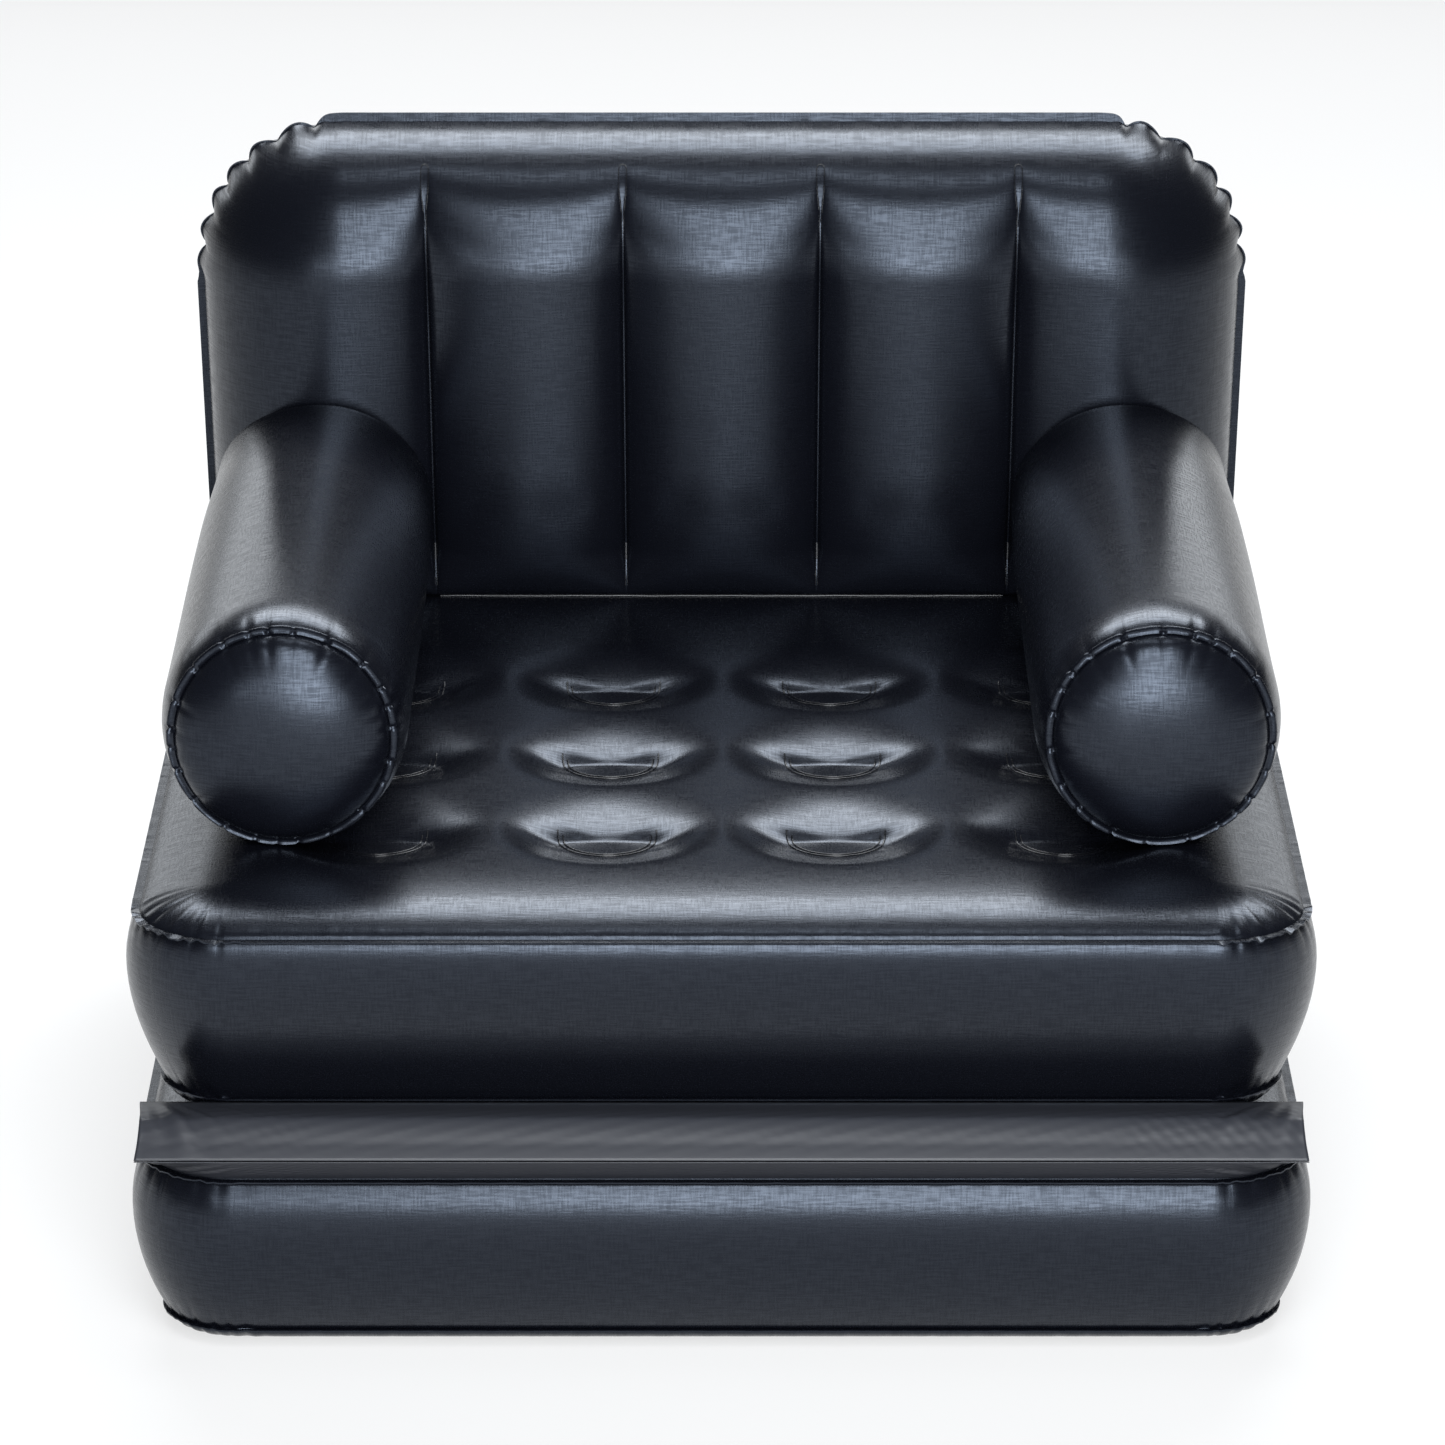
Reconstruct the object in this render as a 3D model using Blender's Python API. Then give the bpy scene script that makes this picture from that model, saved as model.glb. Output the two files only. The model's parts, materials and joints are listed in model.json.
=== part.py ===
"""A fold-out inflatable chair of welded vinyl film.

The seat leaf carries a ribbed backrest and two bolster arms. A film web along the front
joins it to the base leaf, which lies folded beneath it and swings out to lengthen the chair
into a bed. Metres, +Z up. The front faces -Y, and the origin lies on the floor under the
middle of the whole chair.
"""

import math

import bmesh
import bpy
from mathutils import Vector
from mathutils.geometry import delaunay_2d_cdt

# Film and seams
FILM = 0.001
GAP = 0.0003
FIN_WIDTH = 0.007

# The two leaves, from seam to seam
LEAF_WIDTH = 0.945
LEAF_DEPTH = 0.955
CORNER_RADIUS = 0.075
CROWN = 0.024
CROWN_REACH = 0.055
WALL_BULGE = 0.018
UNDERSIDE_INSET = 0.014
BASE_WALL_HEIGHT = 0.139
BASE_UNDERSIDE_CROWN = 0.018
SEAT_WALL_HEIGHT = 0.160
SEAT_FRONT_TUCK = 0.042

# Coil beams, the round tubes that tie each leaf's two sheets together
COIL_RADIUS = 0.041
COIL_PITCH = 0.190
COIL_FIRST_ROW = 0.218
BASE_ROW_PITCH = 0.240
WELL_DEPTH = 0.024
WELL_REACH = 0.087
DISC_DOME = 0.004

# Backrest
BACK_OVERHANG = 0.0045
BACK_HEIGHT = 0.422
BACK_TOP_RADIUS = 0.135
BACK_FOOT_RADIUS = 0.045
BACK_TAPER = 0.012
RIDGE_AHEAD_OF_REAR = 0.059
CREASE_DEPTH = 0.082
FRONT_SWELL = 0.118
REAR_FOOT_DEPTH = 0.003
REAR_SWELL = 0.060
SWELL_REACH = 0.120
FOOT_REACH = 0.130
CHANNEL_PITCH = 0.177
CHANNEL_DEPTH = 0.026
WELD_TOP_DROP = 0.022
WELD_FOOT_RISE = 0.045
WELD_FADE = 0.150

# Arms
ARM_INSET = 0.1135
ARM_BEHIND_FRONT = 0.155
RING_RADIUS = 0.088
BARREL_RADIUS = 0.102
CAP_DOME = 0.030
ARM_CLEARANCE = 0.008
PORT_RADIUS = 0.012

# Web between the leaves
FOLD_AHEAD = 0.020
WEB_OVERHANG = 0.0025

# Valves
VALVE_INSET = 0.1275
BACK_VALVE_RISE = 0.110
VALVE_PAD_RADIUS = 0.024
FLANGE_RADIUS = 0.019
FLANGE_THICKNESS = 0.0015
NECK_RADIUS = 0.0115
BORE_RADIUS = 0.008
NECK_LENGTH = 0.010
LIP_HEIGHT = 0.004
PLUG_RADIUS = 0.0105
PLUG_THICKNESS = 0.003
STEM_LENGTH = 0.004
STEM_TAPER = 0.001
STRAP_WIDTH = 0.006
STRAP_THICKNESS = 0.0015
STRAP_REACH = 0.0165
STRAP_TAIL = 0.0005
FLAP_THICKNESS = 0.001
CUT_OVERRUN = 0.01

# Counts
CORNER_STEPS = 4
BACK_CORNER_STEPS = 5
BACK_SIDE_STEPS = 4
SEAT_COIL_SIDES = 10
BASE_COIL_SIDES = 8
PORT_SIDES = 10
ARM_SIDES = 16
VALVE_SIDES = 12
COIL_COLUMNS = (-1.5, -0.5, 0.5, 1.5)
COIL_ROWS = (0, 1, 2)
WELD_LINES = (-1.5, -0.5, 0.5, 1.5)
CHANNEL_DIVISIONS = 4

# Places along a shape, as shares of it
CROWN_INSET_SHARES = (0.10, 0.40, 1.0)
WALL_HEIGHT_SHARES = (0.14, 0.34, 0.66, 0.86)
WALL_BULGE_SHARES = (0.68, 1.0, 1.0, 0.68)
BACK_INSET_SHARES = (0.08, 0.28, 0.60)
BACK_ROW_SHARES = (0.0, 0.052, 0.13, 0.28, 0.46, 0.66)
BACK_GRID_MARGIN_SHARE = 0.80
HOLE_MARGIN_SHARE = 1.5
MERGE_SHARE = 0.01
BARREL_LENGTH_SHARES = (0.035, 0.10, 0.50, 0.88, 0.96)
BARREL_SWELL_SHARES = (0.55, 1.0, 1.0, 0.80, 0.45)
CAP_RADIUS_SHARES = (1.0, 0.86, 0.50)
CAP_DOME_SHARES = (0.0, 0.60, 0.92)
REAR_CAP_RADIUS_SHARES = (0.75, 0.42)

# Places that follow from the sizes
FRONT = -LEAF_DEPTH / 2
REAR = LEAF_DEPTH / 2
BASE_BOTTOM_SEAM = BASE_UNDERSIDE_CROWN
BASE_TOP_SEAM = BASE_BOTTOM_SEAM + BASE_WALL_HEIGHT
BASE_CREST = BASE_TOP_SEAM + CROWN
FOLD_HEIGHT = BASE_CREST + GAP / 2
SEAT_UNDERSIDE = BASE_CREST + GAP
SEAT_BOTTOM_SEAM = SEAT_UNDERSIDE + CROWN
SEAT_TOP_SEAM = SEAT_BOTTOM_SEAM + SEAT_WALL_HEIGHT
SEAT_CREST = SEAT_TOP_SEAM + CROWN
FIN_TOP = GAP / 2 + FILM
BACK_WIDTH = LEAF_WIDTH + 2 * BACK_OVERHANG
BACK_FOOT = SEAT_CREST + GAP
BACK_SEAM_TOP = BACK_FOOT + BACK_HEIGHT
RIDGE_Y = REAR - RIDGE_AHEAD_OF_REAR
ARM_CENTRE_X = LEAF_WIDTH / 2 - ARM_INSET
ARM_FRONT_Y = FRONT + ARM_BEHIND_FRONT
ARM_AXIS_Z = SEAT_CREST + GAP + RING_RADIUS + FIN_WIDTH
FOLD_Y = FRONT - FOLD_AHEAD
WEB_WIDTH = LEAF_WIDTH + 2 * WEB_OVERHANG
VALVE_X = LEAF_WIDTH / 2 - VALVE_INSET

VINYL = ((0.012, 0.013, 0.017), 0.34)
INNER_FILM = ((0.020, 0.021, 0.026), 0.50)
VALVE_PLASTIC = ((0.030, 0.031, 0.035), 0.42)
FLAP_RUBBER = ((0.055, 0.055, 0.058), 0.60)


def clear_scene():
    for item in list(bpy.data.objects):
        bpy.data.objects.remove(item, do_unlink=True)


def finish_of(name, look):
    """A material of one colour and roughness for the named piece."""
    colour, roughness = look
    material = bpy.data.materials.new(name + "_finish")
    material.use_nodes = True
    shader = material.node_tree.nodes["Principled BSDF"]
    shader.inputs["Base Color"].default_value = (*colour, 1.0)
    shader.inputs["Roughness"].default_value = roughness
    shader.inputs["Metallic"].default_value = 0.0
    return material


def piece_from(bm, name, look, place=(0, 0, 0), smooth_angle=40):
    """Turns an edited mesh into a named object with its own finish."""
    bmesh.ops.recalc_face_normals(bm, faces=bm.faces)
    mesh = bpy.data.meshes.new(name)
    bm.to_mesh(mesh)
    bm.free()
    mesh.shade_smooth()
    mesh.set_sharp_from_angle(angle=math.radians(smooth_angle))
    piece = bpy.data.objects.new(name, mesh)
    piece.location = place
    piece.data.materials.append(finish_of(name, look))
    bpy.context.scene.collection.objects.link(piece)
    return piece


def carrier(name, place):
    """An empty that carries the pieces of one moving body."""
    empty = bpy.data.objects.new(name, None)
    empty.location = place
    bpy.context.scene.collection.objects.link(empty)
    return empty


def carry(piece, empty):
    """Parents a piece to an empty and leaves it where it is."""
    piece.parent = empty
    piece.location = Vector(piece.location) - Vector(empty.location)


def round_share(share):
    """The height of a quarter circle, both as shares of its radius."""
    share = min(max(share, 0.0), 1.0)
    return math.sqrt(1 - (1 - share) ** 2)


# Leaves


def leaf_outline(front, grow):
    """A leaf's rounded outline, counter-clockwise, grown outward."""
    half = LEAF_WIDTH / 2 - CORNER_RADIUS
    radius = CORNER_RADIUS + grow
    corners = (
        (half, REAR - CORNER_RADIUS, 0),
        (-half, REAR - CORNER_RADIUS, 90),
        (-half, front + CORNER_RADIUS, 180),
        (half, front + CORNER_RADIUS, 270),
    )
    points = []
    for x, y, start in corners:
        for step in range(CORNER_STEPS + 1):
            angle = math.radians(start + 90 * step / CORNER_STEPS)
            points.append((x + radius * math.cos(angle), y + radius * math.sin(angle)))
    return points


def depth_inside_leaf(x, y, front):
    """How far a point lies inside the leaf's seam line."""
    across = abs(x) - (LEAF_WIDTH / 2 - CORNER_RADIUS)
    along = abs(y - (front + REAR) / 2) - ((REAR - front) / 2 - CORNER_RADIUS)
    outside = math.hypot(max(across, 0), max(along, 0))
    return CORNER_RADIUS - outside - min(max(across, along), 0)


def coil_centres(first_row, row_pitch):
    return [
        (column * COIL_PITCH, FRONT + first_row + row * row_pitch)
        for row in COIL_ROWS
        for column in COIL_COLUMNS
    ]


def ring(centre, radius, sides):
    """The corners of a regular polygon around a centre."""
    turn = 2 * math.pi / sides
    return [
        (centre[0] + radius * math.cos(i * turn), centre[1] + radius * math.sin(i * turn))
        for i in range(sides)
    ]


def well_drop(x, y, centres):
    """How far the sheet is drawn in by the nearest coil beam."""
    drop = 0.0
    for cx, cy in centres:
        away = math.hypot(x - cx, y - cy)
        if away < COIL_RADIUS / 2:
            drop = max(drop, WELL_DEPTH - DISC_DOME)
        elif away < WELL_REACH:
            fade = max(away - COIL_RADIUS, 0) / (WELL_REACH - COIL_RADIUS)
            drop = max(drop, WELL_DEPTH * (1 + math.cos(math.pi * min(fade, 1))) / 2)
    return drop


def triangulated(loops, points, lines=()):
    """Triangles over closed loops, open lines and loose points in one plane."""
    places = []
    edges = []
    for loop in loops:
        start = len(places)
        places.extend(Vector(p) for p in loop)
        edges.extend((start + i, start + (i + 1) % len(loop)) for i in range(len(loop)))
    for line in lines:
        start = len(places)
        places.extend(Vector(p) for p in line)
        edges.extend((start + i, start + i + 1) for i in range(len(line) - 1))
    places.extend(Vector(p) for p in points)
    verts, _, faces, _, _, _ = delaunay_2d_cdt(places, edges, [], 0, FILM * MERGE_SHARE)
    return [tuple(v) for v in verts], [tuple(f) for f in faces]


def film_piece(name, look, verts, faces, lift, place, parted=None):
    """A sheet of film laid over a flat triangulation and raised by a lift rule."""
    if parted:
        faces = [f for f in faces if not parted(f, verts)]
    used = {i for face in faces for i in face}
    bm = bmesh.new()
    outer = {i: bm.verts.new(place(*verts[i], lift(*verts[i]))) for i in used}
    inner = {i: bm.verts.new(place(*verts[i], lift(*verts[i]) - FILM)) for i in used}
    rims = set()
    for face in faces:
        bm.faces.new([outer[i] for i in face])
        bm.faces.new([inner[i] for i in reversed(face)])
        rims.update(zip(face, face[1:] + face[:1]))
    for a, b in rims:
        if (b, a) not in rims:
            bm.faces.new((outer[b], outer[a], inner[a], inner[b]))
    return piece_from(bm, name, look)


def leaf_sheet(name, seam, side, crown, front, inset, centres, coil_sides):
    """One face of a leaf: a crowned sheet with a flat fin and a well at each coil beam."""
    grows = [FIN_WIDTH, 0] + [-share * CROWN_REACH for share in CROWN_INSET_SHARES]
    loops = [leaf_outline(front, grow - inset) for grow in grows]
    points = list(centres)
    for centre in centres:
        loops.append(ring(centre, COIL_RADIUS, coil_sides))
        loops.append(ring(centre, WELL_REACH, coil_sides))
    verts, faces = triangulated(loops, points)

    def lift(x, y):
        rise = round_share((depth_inside_leaf(x, y, front) - inset) / CROWN_REACH)
        return FIN_TOP + (crown - FIN_TOP) * rise - well_drop(x, y, centres)

    return film_piece(name, VINYL, verts, faces, lift,
                      lambda x, y, h: (x, y, seam + side * h))


def leaf_wall(name, bottom, top, bottom_front, top_front):
    """The bulged band between a leaf's two seams, with a fin along each edge."""
    height = top - bottom
    low = bottom + GAP / 2
    high = top - GAP / 2
    outer = [(FIN_WIDTH, low), (FIN_WIDTH, low + FILM), (0, low + FILM)]
    inner = [(-FILM, low)]
    for share, bulge in zip(WALL_HEIGHT_SHARES, WALL_BULGE_SHARES):
        outer.append((bulge * WALL_BULGE, bottom + share * height))
        inner.append((bulge * WALL_BULGE - FILM, bottom + share * height))
    outer += [(0, high - FILM), (FIN_WIDTH, high - FILM), (FIN_WIDTH, high)]
    inner.append((-FILM, high))
    section = outer + inner[::-1]
    bm = bmesh.new()
    rings = []
    for grow, z in section:
        share = (z - bottom) / height
        front = bottom_front + (top_front - bottom_front) * share
        outline = leaf_outline(front, grow - UNDERSIDE_INSET * (1 - share))
        rings.append([bm.verts.new((x, y, z)) for x, y in outline])
    join_rings(bm, rings, closed=True)
    return piece_from(bm, name, VINYL)


def join_rings(bm, rings, closed):
    """Faces between neighbouring rings, and from the last to the first if closed.

    The two halves of each quad are set here, so that rings which face each other match.
    """
    pairs = list(zip(rings, rings[1:]))
    if closed:
        pairs.append((rings[-1], rings[0]))
    for low, high in pairs:
        count = max(len(low), len(high))
        for i in range(count):
            j = (i + 1) % count
            if len(high) == 1:
                bm.faces.new((low[i], low[j], high[0]))
            elif len(low) == 1:
                bm.faces.new((low[0], high[j], high[i]))
            else:
                bm.faces.new((low[i], low[j], high[j]))
                bm.faces.new((low[i], high[j], high[i]))


def coil_beam(name, centre, low, high, sides):
    """An open tube of film between a leaf's two sheets."""
    bm = bmesh.new()
    rings = []
    for radius, z in ((COIL_RADIUS, 0), (COIL_RADIUS, high - low),
                      (COIL_RADIUS - FILM, high - low), (COIL_RADIUS - FILM, 0)):
        rings.append([bm.verts.new((x, y, z)) for x, y in ring((0, 0), radius, sides)])
    join_rings(bm, rings, closed=True)
    return piece_from(bm, name, INNER_FILM, (*centre, low), smooth_angle=60)


def make_leaf(kind, bottom, top, low_crown, bottom_front, centres, coil_sides, welled_top):
    """A leaf's sheets, wall and coil beams."""
    top_centres = centres if welled_top else []
    bottom_centres = [] if welled_top else centres
    pieces = [
        leaf_sheet(kind + "_top_sheet", top, 1, CROWN, FRONT, 0, top_centres, coil_sides),
        leaf_sheet(kind + "_bottom_sheet", bottom, -1, low_crown, bottom_front,
                   UNDERSIDE_INSET, bottom_centres, coil_sides),
        leaf_wall(kind + "_side_wall", bottom, top, bottom_front, FRONT),
    ]
    top_drop = WELL_DEPTH if welled_top else 0
    bottom_drop = 0 if welled_top else WELL_DEPTH
    low = bottom - low_crown + bottom_drop + FILM + GAP
    high = top + CROWN - top_drop - FILM - GAP
    for number, centre in enumerate(centres, 1):
        name = f"{kind}_coil_beam_{number:02d}"
        pieces.append(coil_beam(name, centre, low, high, coil_sides))
    return pieces


# Backrest


def back_path(grow):
    """The backrest's seam from its left foot over the top to its right foot, grown outward."""
    half = BACK_WIDTH / 2
    corners = (
        (-(half - BACK_FOOT_RADIUS), BACK_FOOT + BACK_FOOT_RADIUS, BACK_FOOT_RADIUS, 270),
        (-(half - BACK_TOP_RADIUS), BACK_SEAM_TOP - BACK_TOP_RADIUS, BACK_TOP_RADIUS, 180),
        (half - BACK_TOP_RADIUS, BACK_SEAM_TOP - BACK_TOP_RADIUS, BACK_TOP_RADIUS, 90),
        (half - BACK_FOOT_RADIUS, BACK_FOOT + BACK_FOOT_RADIUS, BACK_FOOT_RADIUS, 0),
    )
    points = []
    runs = (0, BACK_SIDE_STEPS, 0, BACK_SIDE_STEPS)
    for (x, z, radius, start), run in zip(corners, runs):
        for step in range(BACK_CORNER_STEPS + 1):
            angle = math.radians(start - 90 * step / BACK_CORNER_STEPS)
            across = x + (radius + grow) * math.cos(angle)
            level = z + (radius + grow) * math.sin(angle)
            if step == 0:
                points += between(points, (across, level), run)
            points.append((across, max(level, BACK_FOOT)))
    return points


def between(points, end, steps):
    """Points along the straight run from the last point to an end, without either."""
    if not points or steps == 0:
        return []
    start = Vector(points[-1])
    run = Vector(end) - start
    return [tuple(start + run * step / steps) for step in range(1, steps)]


BACK_SEAM = back_path(0)


def depth_inside_back(x, z):
    """How far a point lies inside the backrest's seam, which its foot doesn't have."""
    here = Vector((x, z))
    nearest = None
    for start, end in zip(BACK_SEAM, BACK_SEAM[1:]):
        a = Vector(start)
        run = Vector(end) - a
        along = min(max((here - a).dot(run) / run.dot(run), 0), 1)
        away = (here - a - run * along).length
        nearest = away if nearest is None else min(nearest, away)
    beyond = abs(x) > BACK_WIDTH / 2 or z > BACK_SEAM_TOP or outside_corner(x, z)
    return -nearest if beyond else nearest


def outside_corner(x, z):
    """Whether a point lies past one of the backrest's rounded corners."""
    for radius, level, side in ((BACK_TOP_RADIUS, BACK_SEAM_TOP - BACK_TOP_RADIUS, 1),
                                (BACK_FOOT_RADIUS, BACK_FOOT + BACK_FOOT_RADIUS, -1)):
        across = abs(x) - (BACK_WIDTH / 2 - radius)
        along = side * (z - level)
        if across > 0 and along > 0 and math.hypot(across, along) > radius:
            return True
    return False


def channel_notch(x, z):
    """The share by which the sheet is drawn in between two channels."""
    away = min(abs(x - line * CHANNEL_PITCH) for line in WELD_LINES)
    notch = 1 - round_share(away / (CHANNEL_PITCH / 2))
    above = min(max((BACK_SEAM_TOP - WELD_TOP_DROP - z) / WELD_FADE, 0), 1)
    below = min(max((z - BACK_FOOT) / WELD_FOOT_RISE, 0), 1)
    return notch * math.sin(math.pi * above / 2) * below


def back_lift(x, z, foot, swell):
    """How far a backrest sheet stands off the ridge plane."""
    rise = round_share((z - BACK_FOOT) / FOOT_REACH)
    full = foot + (swell - foot) * rise - CHANNEL_DEPTH * channel_notch(x, z)
    return FIN_TOP + max(full - FIN_TOP, 0) * round_share(depth_inside_back(x, z) / SWELL_REACH)


def narrowing(z):
    """The share of its top width that the backrest has at a level."""
    drop = 1 - (z - BACK_FOOT) / BACK_HEIGHT
    return 1 - drop * BACK_TAPER / (BACK_WIDTH / 2)


def front_lift(x, z):
    return back_lift(x, z, CREASE_DEPTH, FRONT_SWELL)


def valve_place_on_back():
    """The valve's centre in the backrest's own width, before it narrows."""
    level = BACK_FOOT + BACK_VALVE_RISE
    return VALVE_X / narrowing(level), level


def rear_lift(x, z):
    """The rear sheet's lift, level where the valve's flange lies."""
    vx, vz = valve_place_on_back()
    if math.hypot(x - vx, z - vz) < VALVE_PAD_RADIUS + GAP:
        x, z = vx, vz
    return back_lift(x, z, REAR_FOOT_DEPTH, REAR_SWELL)


def upper_levels():
    """The levels just under the top seam, from the lowest up."""
    return [BACK_SEAM_TOP - share * SWELL_REACH for share in reversed(BACK_INSET_SHARES)]


def back_grid():
    """Points over the backrest, with a column on each weld line."""
    step = CHANNEL_PITCH / CHANNEL_DIVISIONS
    columns = int(BACK_WIDTH / 2 / step)
    points = []
    for column in range(-columns, columns + 1):
        x = column * step
        lower = [BACK_FOOT + share * BACK_HEIGHT for share in BACK_ROW_SHARES]
        points += [(x, z) for z in lower
                   if depth_inside_back(x, z) > SWELL_REACH * BACK_GRID_MARGIN_SHARE]
        if abs(x) < BACK_WIDTH / 2 - BACK_TOP_RADIUS:
            points += [(x, z) for z in upper_levels()]
    return points


def weld_levels():
    """The levels at which the inner webs meet the sheets, from the lowest up."""
    lower = [BACK_FOOT + share * BACK_HEIGHT for share in BACK_ROW_SHARES]
    return lower[1:] + upper_levels()[:-1]


def weld_lines():
    """The lines along which the inner webs are welded to a backrest sheet."""
    return [
        [(line * CHANNEL_PITCH, level) for level in weld_levels()]
        for line in WELD_LINES
    ]


def back_mesh(rings, clearings):
    """The flat triangulation of a backrest sheet, with loose points kept off some places."""
    loops = [back_path(FIN_WIDTH), back_path(0)] + rings
    points = back_grid()
    for share in BACK_INSET_SHARES:
        inset = share * SWELL_REACH
        points += [p for p in back_path(-inset) if p[1] > BACK_FOOT + inset]
    points = [p for p in points if all(math.dist(p, c) > r for c, r in clearings)]
    return triangulated(loops, points, weld_lines())


def inside_any(centres, radius):
    """A test for the faces that lie inside round holes."""
    def test(face, places):
        middle = sum((Vector(places[i]) for i in face), Vector((0, 0))) / len(face)
        return any((middle - Vector(centre)).length < radius for centre in centres)
    return test


def backrest_front():
    """The ribbed sheet that the sitter leans on, with a port through to each arm."""
    across = ARM_CENTRE_X / narrowing(ARM_AXIS_Z)
    centres = [(side * across, ARM_AXIS_Z) for side in (-1, 1)]
    rings = [ring(centre, PORT_RADIUS, PORT_SIDES) for centre in centres]
    verts, faces = back_mesh(rings, [(centre, HOLE_MARGIN_SHARE * PORT_RADIUS) for centre in centres])
    return film_piece("backrest_front_sheet", VINYL, verts, faces, front_lift,
                      lambda x, z, h: (x * narrowing(z), RIDGE_Y - h, z),
                      inside_any(centres, PORT_RADIUS))


def backrest_rear():
    """The rear sheet, with a hole for the valve's neck in a level pad."""
    centre = valve_place_on_back()
    rings = [ring(centre, NECK_RADIUS + GAP, VALVE_SIDES),
             ring(centre, VALVE_PAD_RADIUS, VALVE_SIDES)]
    verts, faces = back_mesh(rings, [(centre, HOLE_MARGIN_SHARE * VALVE_PAD_RADIUS)])
    return film_piece("backrest_rear_sheet", VINYL, verts, faces, rear_lift,
                      lambda x, z, h: (x * narrowing(z), RIDGE_Y + h, z),
                      inside_any([centre], NECK_RADIUS))


def backrest_web(number, line):
    """An upright strip inside the backrest that holds its two sheets together."""
    x = line * CHANNEL_PITCH
    bm = bmesh.new()
    rings = []
    for z in weld_levels():
        front = RIDGE_Y - front_lift(x, z) + FILM + GAP
        rear = RIDGE_Y + back_lift(x, z, REAR_FOOT_DEPTH, REAR_SWELL) - FILM - GAP
        lean = x * narrowing(z) - x
        rings.append([
            bm.verts.new((lean + side * FILM / 2, y - RIDGE_Y, z - BACK_FOOT))
            for side, y in ((-1, front), (1, front), (1, rear), (-1, rear))
        ])
    join_rings(bm, rings, closed=False)
    bm.faces.new(rings[0][::-1])
    bm.faces.new(rings[-1])
    return piece_from(bm, f"backrest_web_{number}", INNER_FILM, (x, RIDGE_Y, BACK_FOOT))


# Arms


def arm_rear_y(x, z):
    """Where an arm's rear seam lies, a little ahead of the backrest's front sheet."""
    lift = front_lift(x / narrowing(z), z)
    return RIDGE_Y - lift - ARM_CLEARANCE - FILM - GAP


def arm_ring(bm, centre_x, share, shift, radius, bed):
    """One ring of an arm, pressed flat where it would sink into the seat."""
    points = []
    for i in range(ARM_SIDES):
        angle = 2 * math.pi * (i + 0.5) / ARM_SIDES
        x = centre_x + radius * math.cos(angle)
        z = max(ARM_AXIS_Z + radius * math.sin(angle), bed)
        y = ARM_FRONT_Y + share * (arm_rear_y(x, z) - ARM_FRONT_Y) + shift
        points.append(bm.verts.new((x, y, z)))
    return points


def arm_barrel(name, centre_x):
    """The long bolster tube, a little fatter than its end rings."""
    bed = SEAT_CREST + GAP
    bm = bmesh.new()
    outer = [(0, 0, RING_RADIUS + FIN_WIDTH), (0, FILM, RING_RADIUS + FIN_WIDTH),
             (0, FILM, RING_RADIUS)]
    inner = [(0, 0, RING_RADIUS - FILM)]
    for share, swell in zip(BARREL_LENGTH_SHARES, BARREL_SWELL_SHARES):
        radius = RING_RADIUS + swell * (BARREL_RADIUS - RING_RADIUS)
        outer.append((share, 0, radius))
        inner.append((share, 0, radius - FILM))
    outer += [(1, -FILM, RING_RADIUS), (1, -FILM, RING_RADIUS + FIN_WIDTH),
              (1, 0, RING_RADIUS + FIN_WIDTH)]
    inner.append((1, 0, RING_RADIUS - FILM))
    rings = [arm_ring(bm, centre_x, *spot, bed) for spot in outer]
    rings += [arm_ring(bm, centre_x, *spot, bed + FILM) for spot in inner[::-1]]
    join_rings(bm, rings, closed=True)
    return piece_from(bm, name, VINYL)


def arm_front_cap(name, centre_x):
    """The domed disc that closes the front of an arm."""
    bm = bmesh.new()
    outer = [(RING_RADIUS + FIN_WIDTH, 0), (RING_RADIUS + FIN_WIDTH, -FILM)]
    inner = []
    for radius_share, dome_share in zip(CAP_RADIUS_SHARES, CAP_DOME_SHARES):
        outer.append((radius_share * RING_RADIUS, -FILM - dome_share * CAP_DOME))
        inner.append((radius_share * RING_RADIUS, -dome_share * CAP_DOME))
    outer_rings = [polar_ring(bm, *spot) for spot in outer]
    outer_rings.append([bm.verts.new((0, -FILM - CAP_DOME, 0))])
    inner_rings = [polar_ring(bm, *spot) for spot in inner]
    inner_rings.append([bm.verts.new((0, -CAP_DOME, 0))])
    join_rings(bm, outer_rings, closed=False)
    join_rings(bm, inner_rings, closed=False)
    join_rings(bm, [outer_rings[0], inner_rings[0]], closed=False)
    return piece_from(bm, name, VINYL, (centre_x, ARM_FRONT_Y - GAP, ARM_AXIS_Z))


def polar_ring(bm, radius, y):
    turn = 2 * math.pi / ARM_SIDES
    return [
        bm.verts.new((radius * math.cos((i + 0.5) * turn), y,
                      radius * math.sin((i + 0.5) * turn)))
        for i in range(ARM_SIDES)
    ]


def arm_rear_cap(name, centre_x):
    """The disc that closes an arm against the backrest, round its air port."""
    bm = bmesh.new()
    radii = [RING_RADIUS - FILM - GAP]
    radii += [share * RING_RADIUS for share in REAR_CAP_RADIUS_SHARES]
    radii.append(PORT_RADIUS)
    bed = SEAT_CREST + GAP + FILM + GAP
    near = [arm_ring(bm, centre_x, 1, -FILM, radius, bed) for radius in radii]
    far = [arm_ring(bm, centre_x, 1, 0, radius, bed) for radius in radii]
    join_rings(bm, near + far[::-1], closed=True)
    return piece_from(bm, name, VINYL)


# Web between the leaves


def extruded(name, look, section, width, place):
    """A section in the Y-Z plane drawn out along X."""
    bm = bmesh.new()
    ends = [[bm.verts.new((side * width / 2, y - place[1], z - place[2])) for y, z in section]
            for side in (-1, 1)]
    join_rings(bm, ends, closed=False)
    bm.faces.new(ends[0][::-1])
    bm.faces.new(ends[1])
    return piece_from(bm, name, look, place)


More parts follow.
